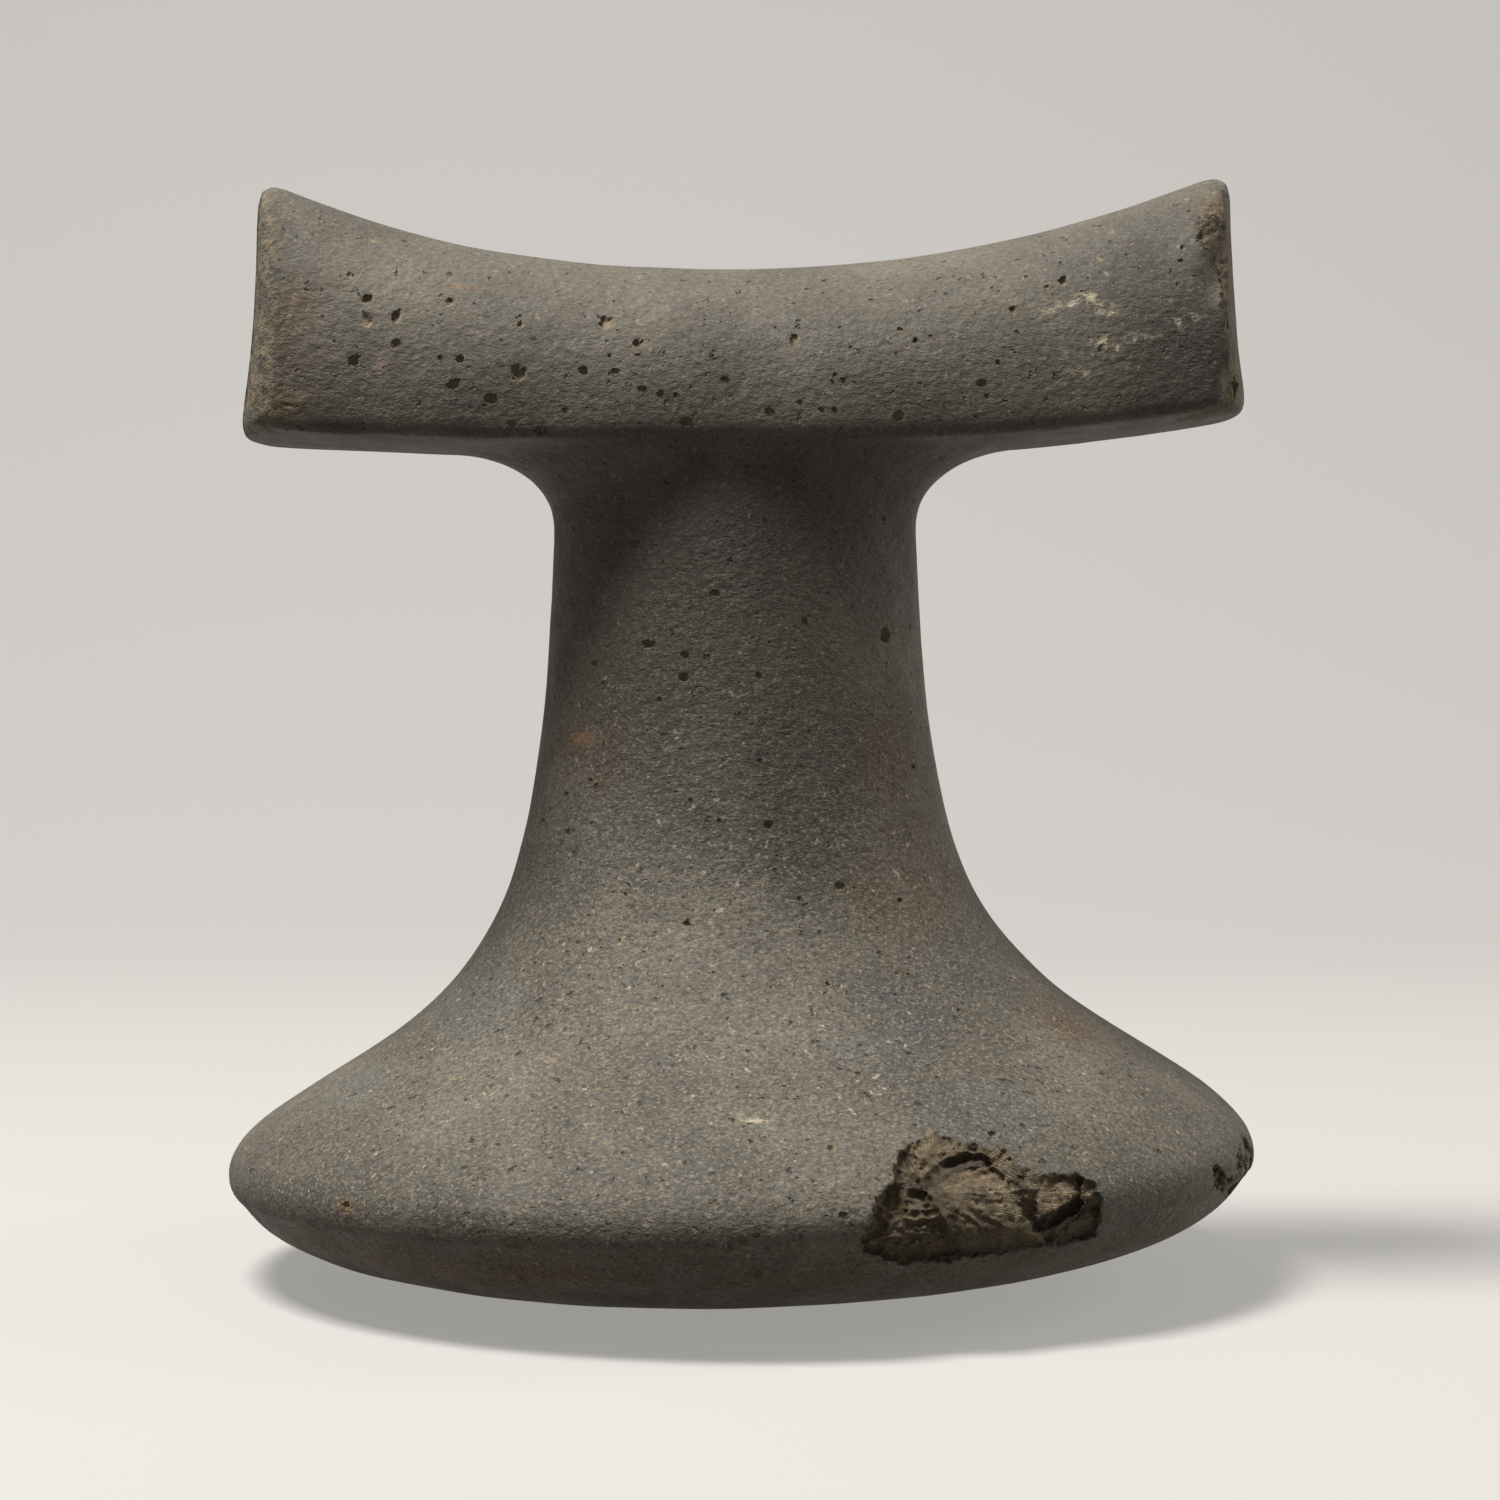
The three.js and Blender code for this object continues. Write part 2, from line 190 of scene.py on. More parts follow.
lower_right_facet = Facet(
    ((1044, 1237), (1060, 1228), (1076, 1217), (1086, 1206), (1106, 1206), (1102, 1226),
     (1096, 1240), (1052, 1250)),
    (1080, 1225), 1.2, -0.4, -0.45, 4, 0.9,
)
# Its dark tint is painted shade in the narrow groove
right_groove = Facet(
    ((1078, 1176), (1081, 1176), (1082, 1200), (1078, 1200)), (1080, 1186), 1.5, 0, 0.3, 2, 0.1,
)
right_shelf = Facet(
    ((1082, 1171), (1096, 1182), (1106, 1204), (1090, 1206), (1083, 1198)),
    (1090, 1190), 0.6, -0.3, 0.2, 3, 0.95,
)
left_ledge = Facet(
    ((856, 1246), (880, 1250), (905, 1256), (945, 1254), (960, 1262), (930, 1272), (858, 1266)),
    (900, 1260), 0.4, 0, -0.8, 8, 0.7,
)
lower_brink = Facet(
    ((945, 1254), (960, 1248), (1004, 1245), (1050, 1240), (1094, 1229), (1104, 1230), (1100, 1246),
     (1010, 1262), (950, 1268)),
    (1010, 1248), 0.6, -0.1, -0.7, 8, 0.15,
)
scar_facets = (
    whole_scar, upper_shelf, shelf_step, left_hollow, bulb, bulb_top, bulb_ridge, step_shadow,
    right_pocket, right_brink, grey_facet, dark_pocket, lower_right_facet, right_groove,
    right_shelf, left_ledge, lower_brink,
)
bulb_tip = (926, 1191)  # the ridges on the bulb fan out from here
bulb_ridges = 9  # in each radian
ridge_length = 40  # pixels
ridges_reach = 60  # pixels from the tip to where the ridges are highest
bulb_ridge_height = 0.45
fan_lines = 60  # much finer lines than the ridges, in each radian
bulb_swell = 0.8
bulb_swell_width = 26  # pixels in from its outline to where it is highest
hollow_ripple = (30, 5.5)  # length and width of the ripples in the left hollow, in pixels
hollow_ripple_height = 0.45

# The upright edge at the bar's right end, broken off in chips
edge_outline = (
    (1194, 205), (1200, 196), (1198, 189), (1206, 186), (1212, 181), (1222, 176), (1250, 180),
    (1250, 384), (1229, 384), (1228, 352), (1225, 330), (1226, 318), (1222, 306), (1223, 292),
    (1218, 284), (1219, 270), (1211, 262), (1212, 252), (1204, 248), (1199, 240), (1201, 233),
    (1195, 226), (1199, 216),
)
whole_edge = Facet(edge_outline, (1212, 225), 0.8, 0.5, -0.03, 3, 0.8)
top_chip = Facet(
    ((1199, 199), (1200, 190), (1212, 183), (1219, 196), (1217, 209), (1206, 212)),
    (1209, 200), 0.8, 0.5, 0.3, 2, 0.95,
)
dark_chip = Facet(
    ((1195, 213), (1208, 212), (1217, 209), (1221, 224), (1213, 238), (1200, 238), (1197, 226)),
    (1208, 224), 1.1, 0.5, 0.3, 3, 0.55,
)
middle_chip = Facet(
    ((1204, 240), (1214, 236), (1222, 226), (1250, 226), (1250, 262), (1218, 262), (1210, 250)),
    (1218, 248), 0.9, 0.6, -0.2, 3, 0.4,
)
lower_chip = Facet(
    ((1217, 264), (1250, 264), (1250, 292), (1222, 290), (1219, 280)),
    (1224, 278), 1.0, 0.8, 0.1, 3, 0.6,
)
edge_facets = (whole_edge, top_chip, dark_chip, middle_chip, lower_chip)

# The lower corner at the bar's right end, worn to a striped bevel
corner_outline = (
    (1231, 384), (1252, 384), (1252, 428), (1204, 432), (1168, 436), (1140, 438), (1140, 433),
    (1166, 425), (1190, 417), (1210, 409), (1224, 400),
)
corner_facets = (Facet(corner_outline, (1222, 410), 0.9, 0.12, 0, 4, 0.75),)
corner_stripe = (30, 3.2)  # length and width of the stripes, in pixels
corner_stripe_height = 0.28

# A nick at the right end of the rim
nick_outline = (
    (1242, 1137), (1249, 1139), (1258, 1146), (1258, 1172), (1248, 1190), (1238, 1200), (1227, 1198),
    (1219, 1190), (1213, 1178), (1215, 1165), (1222, 1169), (1230, 1177), (1234, 1163), (1238, 1150),
)
nick_facets = (Facet(nick_outline, (1236, 1170), 0.8, 0, 0, 6, 0.6),)
nick_patches = 2.2  # the wavelength of the patches in it, in millimetres
nick_patch_levels = (-0.25, 0.25)  # of their noise, between which a patch starts


class BrokenPlace(NamedTuple):
    """A place where stone broke off, as facets painted one over the other"""

    outline: tuple
    facets: tuple
    roughness: float
    ends: tuple  # it fades out between these distances along Y, in millimetres


scar = BrokenPlace(scar_outline, scar_facets, 1.0, (0, 10))
bar_edge = BrokenPlace(edge_outline, edge_facets, 0.35, (-18, -8))
bar_corner = BrokenPlace(corner_outline, corner_facets, 0.25, (-18, -8))
nick = BrokenPlace(nick_outline, nick_facets, 1.0, (0, 10))
broken_places = (scar, bar_edge, bar_corner, nick)

# How far inside its outline each form starts and is full, in pixels
broken_fade = (-1.5, 2)
bulb_fade = (-2, 5)
bulb_calm_fade = (-3, 3)  # of its smoother stone
hollow_fade = (-2, 6)
corner_fade = (-1, 2)

# How stone breaks
facing = (0.2, 0.55)  # stone that faces the camera less than this is cut straight in
in_view = (-0.15, 0)  # and broken places end between these
rough_from = 0.4  # broken stone this deep is as rough as it gets, and at the brink it is smooth
chip_spacing = 2.0  # of the small random facets in broken stone, in millimetres
chip_depths = (0.2, 0.16)  # how far they rise and how far they tilt
bulb_chip_share = 0.35  # they are lower on the bulb
chip_warp = (1.6, 0.7)  # the wavelength and height of the waves in their outlines
ragged_outline = (9, 3)  # the length and width of the teeth in a broken place's outline, in pixels

# Bubbles that the photograph shows: their place, width and height in its pixels
bubbles_in_view = (
    (518, 372, 18, 15), (354, 362, 13, 12), (368, 299, 13, 11), (366, 319, 14, 16),
    (398, 315, 12, 13), (396, 344, 12, 11), (449, 302, 10, 11), (460, 359, 9, 9),
    (440, 358, 7, 6), (455, 384, 15, 10), (491, 400, 14, 13), (521, 324, 8, 8),
    (608, 322, 15, 16), (639, 342, 12, 10), (638, 355, 10, 4), (583, 370, 10, 10),
    (615, 372, 10, 8), (661, 394, 9, 7), (642, 389, 9, 6), (724, 380, 9, 7),
    (687, 423, 12, 10), (541, 431, 13, 9), (375, 240, 13, 4), (476, 252, 12, 4),
    (738, 291, 9, 5), (350, 274, 8, 8), (795, 339, 11, 13), (1015, 309, 10, 9),
    (1064, 279, 10, 12), (1048, 286, 9, 5), (1100, 257, 8, 7), (1110, 231, 9, 5),
    (899, 330, 7, 7), (899, 417, 11, 12), (770, 412, 9, 8), (982, 384, 11, 9),
    (916, 340, 6, 6), (1184, 246, 7, 7), (1180, 261, 5, 7), (512, 424, 8, 6),
    (647, 645, 13, 10), (684, 655, 9, 8), (684, 677, 11, 9), (593, 664, 8, 7),
    (759, 675, 7, 6), (635, 544, 12, 6), (714, 593, 12, 6), (886, 635, 10, 18),
    (769, 826, 10, 10), (840, 886, 12, 9), (659, 699, 5, 5), (805, 621, 6, 6),
    (914, 765, 4, 7), (916, 754, 4, 5), (884, 518, 5, 5), (541, 821, 7, 7), (565, 832, 6, 8),
    (452, 1077, 11, 6), (499, 1085, 6, 4), (521, 1077, 5, 4), (550, 1059, 12, 8),
    (595, 1087, 10, 6), (607, 1141, 10, 6), (711, 1203, 6, 5), (630, 1055, 8, 4),
    (696, 1047, 8, 5), (559, 999, 12, 5), (565, 1004, 7, 4), (633, 1006, 8, 4),
    (576, 942, 8, 5), (620, 940, 8, 5), (686, 923, 13, 6), (624, 894, 8, 5),
    (711, 952, 8, 5), (714, 966, 7, 4), (511, 957, 4, 4), (514, 1246, 19, 11),
    (345, 1207, 9, 9), (682, 1254, 12, 8), (743, 1241, 8, 6), (842, 888, 9, 8),
    (800, 898, 8, 5), (899, 973, 9, 6), (828, 984, 8, 5), (873, 1021, 7, 4),
    (775, 1070, 6, 4), (840, 1083, 7, 5), (994, 1133, 13, 7), (832, 1147, 11, 7),
    (814, 1180, 11, 6), (757, 1236, 7, 5), (845, 1215, 9, 6), (755, 1273, 12, 8),
    (1059, 1091, 4, 4), (1016, 1046, 5, 4), (1055, 1175, 12, 8), (1001, 1137, 6, 4),
)
# And the smallest of them: their place alone
small_bubbles_in_view = (
    (321, 220), (335, 218), (346, 233), (665, 328), (800, 402), (835, 410), (907, 346),
    (930, 336), (987, 396), (843, 380), (832, 380), (998, 362), (1016, 332), (1132, 242),
    (565, 794), (802, 489), (835, 375), (851, 347), (822, 410), (676, 395), (610, 355),
    (565, 410), (700, 270), (870, 300), (955, 275), (870, 1142), (960, 1010), (730, 560),
    (765, 520), (690, 800), (720, 820), (590, 780), (640, 870), (900, 900), (760, 760),
    (655, 980), (520, 1040), (430, 1160), (480, 1180), (560, 1200), (1120, 1120), (1060, 1020),
    (1160, 1150), (950, 1100),
)
small_bubble_size = 5
hidden_bubbles = 120
bubble_seed = 11
tallest_bubble = 1.3  # in view, as a share of its width
least_slant = 0.45  # a direction seen more end-on than this is taken to be no more so
least_level = 0.1  # a surface that leans less than this is taken as level
bubble_depth_shares = (0.34, 0.6)  # of the shorter way across a bubble
bubble_wall = (0.4, 1.08)  # where its wall starts and ends, as shares of its half width
bubble_dish = 0.35  # how much shallower its floor gets towards the wall
bubble_open = 0.15  # a surface that faces a bubble's axis less than this isn't cut by it
bubble_search = 0.75  # how far round a bubble points are moved, as a share of its size
bubble_lobes = (0.03, 0.1)  # how uneven a bubble's outline is
bubble_waves = (2, 3, 5, 7)  # how often it goes in and out
bubble_lean = 0.35  # how far a bubble's axis may lean from the surface's normal, as a slope
hidden_bubble_sizes = (0.6, 2.3)  # millimetres across
hidden_bubble_heights = (0.7, 1)  # as shares of that
hidden_bubble_limits = ((-60, 60), (-60, 60), (0, 148))  # the lines that find them start in here
hidden_bubble_small_power = 2.3  # most of the hidden bubbles are small

# Patches of pecked stone round the ends of the bar, and how rough the stone is
pecked_left = (264, 286, 196, 434)  # where it is full, and its right, top and bottom, in pixels
pecked_from = 63.2  # how far along the bar its end edges start, in millimetres
pecked_width = 1.4  # from there to where they are full
pecked_bottom = 108  # how high they end, in millimetres
pecked_turns = (0.15, 0.4)  # how far a surface turns both ways where an edge starts and is full
pecked_roughness = 0.6
rough_wavelengths = (2.6, 1.0)  # of the bumps on rough stone, in millimetres
rough_heights = (0.42, 0.42)
wave_length = 15  # long waves in the ground surface, left by working it by hand
wave_depth = 0.22

# Marks on the surface: place, half width and half height in pixels
pale_marks = (
    (1086, 298, 16, 8), (1068, 303, 12, 5), (1041, 307, 14, 5), (1106, 309, 9, 9),
    (1112, 350, 12, 9), (1136, 337, 12, 7), (1094, 371, 6, 5), (1127, 366, 6, 5),
    (1178, 321, 8, 5), (1194, 317, 6, 5), (1100, 340, 14, 5), (757, 1118, 16, 9),
    (1060, 356, 5, 5),
)
pink_marks = ((380, 368, 5, 15), (475, 331, 4, 9))
orange_marks = ((456, 285, 5, 4), (469, 286, 6, 4), (345, 1207, 9, 8), (582, 738, 14, 8))
brown_marks = (
    (290, 400, 34, 24), (300, 330, 30, 60), (880, 740, 34, 90), (905, 880, 60, 70),
    (1100, 1010, 70, 40), (590, 740, 40, 60),
)
blue_marks = (
    (985, 1115, 70, 34), (880, 1030, 60, 50), (330, 1080, 70, 30), (470, 1000, 50, 50),
)
# Painted shade, mostly on the neck below the bar, where the bar's shade falls
painted_shade_marks = ((1175, 355, 62, 70), (690, 640, 130, 230), (790, 500, 90, 70), (800, 760, 80, 170))
mark_fade = (0.4, 1.3)  # where a mark starts to fade and ends, as shares of its half size
mark_facing = (0.02, 0.35)  # and how far the stone faces the camera where it ends and is full

# The usual curve between a screen's value and the light that it stands for
screen_white = 255
straight_end = 0.04045
straight_slope = 12.92
curve_offset = 0.055
curve_power = 2.4

# The stone's colours, as they look on a screen from 0 to 255
dark_skin = (74, 70, 63)
light_skin = (108, 102, 91)
blue_stain = (86, 91, 94)
brown_stain = (88, 70, 50)
# the colour of the painted shade on the neck below the bar
painted_shade_colour = (58, 55, 50)
pale_crust = (184, 171, 146)
pink_grains = (160, 134, 126)
orange_grains = (158, 116, 78)
# painted shade: the near-black of tiny pores, where light doesn't reach
pore_painted_shade = (30, 27, 24)
dark_break = ((50, 44, 37), (98, 88, 74))  # the dark and the light parts of a dark facet, which in deep pockets is painted shade
light_break = ((92, 79, 61), (162, 144, 116))  # and of a light one
pecked_shade = (144, 129, 103)
bubble_shade = (160, 144, 116)

# Patterns in the stone: wavelength in millimetres, detail and roughness
patch_pattern = (24, 5, 0.6)
stain_pattern = (9, 5, 0.65)
gloss_pattern = (6, 5, 0.6)
break_pattern = (1.9, 6, 0.75)
crust_pattern = (1.6, 6, 0.8)
grain_pattern = (0.8, 3, 0.7)
sand_pattern = (0.7, 3, 0.8)
fleck_pattern = (2, 0.55)  # detail and roughness: each kind of fleck has its own wavelength

# Three more placings for the patterns, so that they don't repeat each other
lying_squeeze = (1, 1, 1.6)  # grains lie flat
beside_shift = (37, 11, 5)
aslant_turn = (0.6, 0.3, 0.9)

# The levels of a pattern between which its colour runs from dark to light
patch_ends = (0.32, 0.68)
break_ends = (0.36, 0.64)

# While a pattern runs between the first two values, what comes of it runs between the other two
blue_span = (0.38, 0.62, 0, 0.45)
brown_span = (0.38, 0.6, 0.2, 0.85)
uneven_span = (0, 1, -3, 3)  # to millimetres that the sole's stain ends higher or lower
sole_span = (15, 9, 0, 1)  # from millimetres of height to how brown the sole is
speckle_span = (105, 55, 0.5, 1)  # from millimetres of height to how speckled the stone is
grain_span = (0.3, 0.7, 0.5, 1.5)
crust_span = (0.48, 0.58, 0, 1)
coloured_grain_span = (0.35, 0.6, 0, 0.65)
sand_span = (0.32, 0.68, 0.65, 1.4)
pecked_span = (0.46, 0.56, 0, 0.75)
lining_span = (0.3, 0.7, 0.6, 1)
gloss_span = (0.3, 0.7, 0.6, 0.78)

# How strongly the layers cover what lies below them
# painted shade on the neck below the bar
painted_shade_share = 0.5
pore_share = 0.7
broken_share = 0.92


class Flecks(NamedTuple):
    """One kind of fleck in the ground surface"""

    wavelength: float  # in millimetres
    level: float  # of the clouds, above which they show
    share: float
    shade: tuple


small_pale_flecks = Flecks(0.5, 0.56, 0.5, (156, 146, 128))
large_pale_flecks = Flecks(1.2, 0.67, 0.75, (180, 166, 142))
small_dark_flecks = Flecks(0.6, 0.58, 0.5, (46, 43, 38))
# Tiny pores, painted near black as shade, with a small dent in the relief
pores = Flecks(1.3, 0.67, pore_share, pore_painted_shade)
fleck_edge = 0.07  # from that level to where a fleck covers in full

# The stone's gloss, and its relief in millimetres
stone_gloss = 0.35
broken_dullness = 0.2  # how much rougher broken stone is
peck_size = 1.4
peck_smoothness = 0.7
peck_relief = 0.16
grain_relief = 0.22
pore_relief = -0.3
break_relief = 0.7
sand_relief = 0.35
line_relief = 0.35


class Lamp(NamedTuple):
    """A soft lamp, with its place and sizes in metres"""

    name: str
    place: tuple
    width: float
    height: float
    power: float
    tint: tuple


# The studio, in metres
lamps = (
    Lamp("top_lamp", (-0.33, -0.18, 1.04), 0.36, 0.36, 17.5, (1, 0.975, 0.94)),
    Lamp("side_lamp", (0.85, 0.22, 0.35), 0.25, 0.5, 2.6, (1, 0.95, 0.88)),
)
stone_middle = Vector((0, 0, 0.075))  # where the lamps point
floor_sizes = (-1.6, 0.5, 0.5, 1.2, 2.5)  # front, where it turns up, the turn, wall, half its width
turn_steps = 24
floor_shades = ((84, 83, 81), (156, 154, 151))  # towards the stone, and as the camera sees it
floor_light = (226, 224, 220)
floor_glow = 0.42  # as the camera sees it
floor_roughness = 0.9
sky_shade = (255, 253, 249)
sky_strengths = (0.085, 0.42)  # towards the stone, and as the camera sees it
nearest_seen = 0.01  # nothing nearer to the camera shows


def smoothstep(low, high, value):
    """0 up to low, 1 from high on, and a smooth way between them"""
    share = np.clip((value - low) / (high - low), 0, 1)
    return share * share * (3 - 2 * share)


def in_picture(places):
    """The pixel that each place has in the photograph"""
    seen = (places - np.array(camera_place)) @ np.array(camera_turn)
    right = picture_middle + focal_pixels * seen[:, 0] / -seen[:, 2]
    down = picture_middle - focal_pixels * seen[:, 1] / -seen[:, 2]
    return np.stack([right, down], axis=1)


def turned_to_camera(places, normals):
    """1 where the surface faces the camera, 0 where it is edge-on, less where it faces away"""
    towards = np.array(camera_place) - places
    towards /= np.linalg.norm(towards, axis=1)[:, None]
    return (towards * normals).sum(axis=1)


def sight_line(pixel):
    """The direction in which the camera sees a pixel"""
    right = (pixel[0] - picture_middle) / focal_pixels
    up = (picture_middle - pixel[1]) / focal_pixels
    return (camera_turn @ Vector((right, up, -1))).normalized()


def inside_distance(outline, pixels):
    """How far each pixel is inside an outline, less than 0 outside it"""
    corners = np.array(outline, float)
    distance = np.full(len(pixels), np.inf)
    inside = np.zeros(len(pixels), bool)
    for start, end in zip(corners, np.roll(corners, -1, axis=0)):
        side = end - start
        along = np.clip(((pixels - start) @ side) / (side @ side), 0, 1)
        nearest = start + along[:, None] * side
        distance = np.minimum(distance, np.linalg.norm(pixels - nearest, axis=1))
        crosses = (start[1] > pixels[:, 1]) != (end[1] > pixels[:, 1])
        drop = side[1] if side[1] else 1
        reach = start[0] + (pixels[:, 1] - start[1]) * side[0] / drop
        inside ^= crosses & (pixels[:, 0] < reach)
    return np.where(inside, distance, -distance)


def cloud(places, wavelength, pattern):
    """Noise of about -1 to 1 at each place, with this wavelength at its coarsest"""
    octaves, shift = cloud_patterns[pattern]
    start = Vector((shift, shift, shift))
    return np.array([
        noise.fractal(Vector(place) / wavelength + start, cloud_falloff, cloud_step, octaves)
        for place in places
    ])


def flat_cloud(across, down, pattern):
    """Noise over a surface that is laid out flat, in wavelengths"""
    return cloud(np.stack([across, down, np.zeros(len(across))], axis=1), 1.0, pattern)


# The stone's mesh


def places_of(bm):
    """Where each point is"""
    return np.array([vert.co[:] for vert in bm.verts])


def normals_of(bm):
    """The normal at each point, as the mean of its own and its neighbours'"""
    bm.normal_update()
    bm.verts.index_update()
    normals = np.array([vert.normal[:] for vert in bm.verts])
    ends = np.array([[vert.index for vert in edge.verts] for edge in bm.edges])
    means = normals.copy()
    for start, end in (ends.T, ends.T[::-1]):
        np.add.at(means, start, normals[end])
    lengths = np.linalg.norm(means, axis=1)[:, None]
    return means / np.maximum(lengths, merge_gap)


def put(bm, places):
    """Moves each point to its new place"""
    for vert, place in zip(bm.verts, places):
        vert.co = place


def new_object(name, bm):
    """An object in the scene with this mesh"""
    mesh = bpy.data.meshes.new(name)
    bm.to_mesh(mesh)
    made = bpy.data.objects.new(name, mesh)
    bpy.context.scene.collection.objects.link(made)
    return made


def finished_mesh(piece):
    """The mesh that a piece's modifiers make, in a new bmesh. The piece goes."""
    evaluated = piece.evaluated_get(bpy.context.evaluated_depsgraph_get())
    bm = bmesh.new()
    bm.from_mesh(evaluated.to_mesh())
    bpy.data.objects.remove(piece)
    return bm


def rounded_stone():
    """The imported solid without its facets, in millimetres"""
    bm = bmesh.new()
    bm.from_mesh(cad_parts["stone_pounder"].data)
    bmesh.ops.scale(bm, vec=(metre, metre, metre), verts=bm.verts)
    bmesh.ops.remove_doubles(bm, verts=bm.verts, dist=merge_gap)
    bmesh.ops.join_triangles(
        bm,
        faces=bm.faces,
        angle_face_threshold=joined_turn,
        angle_shape_threshold=joined_shape,
    )
    piece = new_object("rounded", bm)
    rounding = piece.modifiers.new("rounding", "SUBSURF")
    rounding.levels = rounding_levels
    rounding.render_levels = rounding_levels
    return finished_mesh(piece)


def unbroken_radius(tree, azimuth, height):
    """How far out the rim reaches at an azimuth and height"""
    outward = Vector((math.cos(azimuth), math.sin(azimuth), 0))
    start = outward * outside
    start.z = height
    place = tree.ray_cast(start, -outward)[0]
    return place.xy.length


def fill_scar(bm):
    """Fills the solid's plain scar up to the unbroken rim, so that the full one can be cut"""
    tree = BVHTree.FromBMesh(bm)
    left, right = scar_azimuths
    low, high = scar_heights
    for vert in bm.verts:
        azimuth = math.atan2(vert.co.y, vert.co.x)
        if not (left < azimuth < right and low < vert.co.z < high):
            continue
        across = (azimuth - left) / (right - left)
        at_left = unbroken_radius(tree, left, vert.co.z)
        at_right = unbroken_radius(tree, right, vert.co.z)
        unbroken = at_left + (at_right - at_left) * across
        radius = vert.co.xy.length
        sunk = unbroken - radius
        filled = radius + sunk * smoothstep(*scar_sunk, sunk)
        vert.co.xy *= filled / radius


def fold_ridge(bm):
    """Draws the sole back below the rim's ridge, which makes the ridge crisp"""
    for vert in bm.verts:
        below = ridge_height + ridge_rise * vert.co.x - vert.co.z
        if below > 0:
            share = below / ridge_width
            radius = vert.co.xy.length
            vert.co.xy *= 1 - ridge_sink * share * math.exp(1 - share) / max(radius, ridge_calm)


def smooth(bm, verts, rounds):
    """Moves points towards the middle of their neighbours"""
    for _ in range(rounds):
        bmesh.ops.smooth_vert(
            bm,
            verts=verts,
            factor=smoothing_share,
            use_axis_x=True,
            use_axis_y=True,
            use_axis_z=True,
        )


def even_stone():
    """The stone as an even mesh, thinned where it is nearly flat"""
    bm = rounded_stone()
    fill_scar(bm)
    piece = new_object("even", bm)
    evening = piece.modifiers.new("evening", "REMESH")
    evening.mode = "VOXEL"
    evening.voxel_size = fine_spacing
    bm = finished_mesh(piece)
    smooth(bm, bm.verts, smoothing_rounds)
    fold_ridge(bm)
    piece = new_object("thinned", bm)
    thinning = piece.modifiers.new("thinning", "DECIMATE")
    thinning.ratio = plain_share
    return finished_mesh(piece)


def mapped(bm):
    """The same mesh with the export's map, laid out while the stone is still plain"""
    piece = new_object("mapped", bm)
    piece.data.uv_layers.new(name="OFBake")
    bpy.context.view_layer.objects.active = piece
    piece.select_set(True)
    bpy.ops.object.mode_set(mode="EDIT")
    bpy.ops.mesh.select_all(action="SELECT")
    bpy.ops.uv.smart_project(angle_limit=map_turn, island_margin=map_margin)
    bpy.ops.object.mode_set(mode="OBJECT")
    return finished_mesh(piece)


# Bubbles


class Bubble(NamedTuple):
    """A bubble that the surface cuts open, in millimetres"""

    place: Vector
    way: Vector  # outwards
    along: Vector
    length: float
    width: float
    depth: float


def bubble_axes(bubble):
    """The directions along a bubble and across it"""
    across = bubble.way.cross(bubble.along).normalized()
    return across.cross(bubble.way).normalized(), across


def level_way(normal):
    """The level direction along a surface"""
    level = Vector((0, 0, 1)).cross(normal)
    return level.normalized() if level.length > least_level else Vector((1, 0, 0))


def new_bubble(place, normal, width, height, dice):
    """A round bubble cut open by the surface, its axis leaning a little"""
    lean = Vector([dice.uniform(-bubble_lean, bubble_lean) for _ in range(3)])
    depth = min(width, height) * dice.uniform(*bubble_depth_shares)
    way = (normal + lean).normalized()
    return Bubble(place, way, level_way(normal), width, height, depth)


def true_length(seen, way, sight):
    """The length in millimetres of something along a direction that has this length in pixels"""
    return seen * pixel_size / max(least_slant, way.cross(sight).length)


def all_bubbles(tree, dice):
    """The bubbles in view, by their pixels, and seeded ones where the photograph doesn't reach"""
    found = []
    small = [(x, y, small_bubble_size, small_bubble_size) for x, y in small_bubbles_in_view]
    for x, y, wide, high in [*bubbles_in_view, *small]:
        sight = sight_line((x, y))
        place, normal, _, _ = tree.ray_cast(camera_place, sight)
        if place is None:
            continue
        level = level_way(normal)
        width = true_length(wide, level, sight)
        height = true_length(high, level.cross(normal), sight)
        height = min(height, tallest_bubble * width)
        found.append(new_bubble(place, normal, width, height, dice))
    low, high = hidden_bubble_sizes
    wanted = len(found) + hidden_bubbles
    while len(found) < wanted:
        outward = Vector([dice.gauss(0, 1) for _ in range(3)]).normalized()
        start = Vector([dice.uniform(*limits) for limits in hidden_bubble_limits])
        place, normal, _, _ = tree.ray_cast(start + outward * outside, -outward)
        if place is None or normal.dot(camera_place - place) > 0:
            continue
        size = low + (high - low) * dice.random() ** hidden_bubble_small_power
        height = size * dice.uniform(*hidden_bubble_heights)
        found.append(new_bubble(place, normal, size, height, dice))
    return found


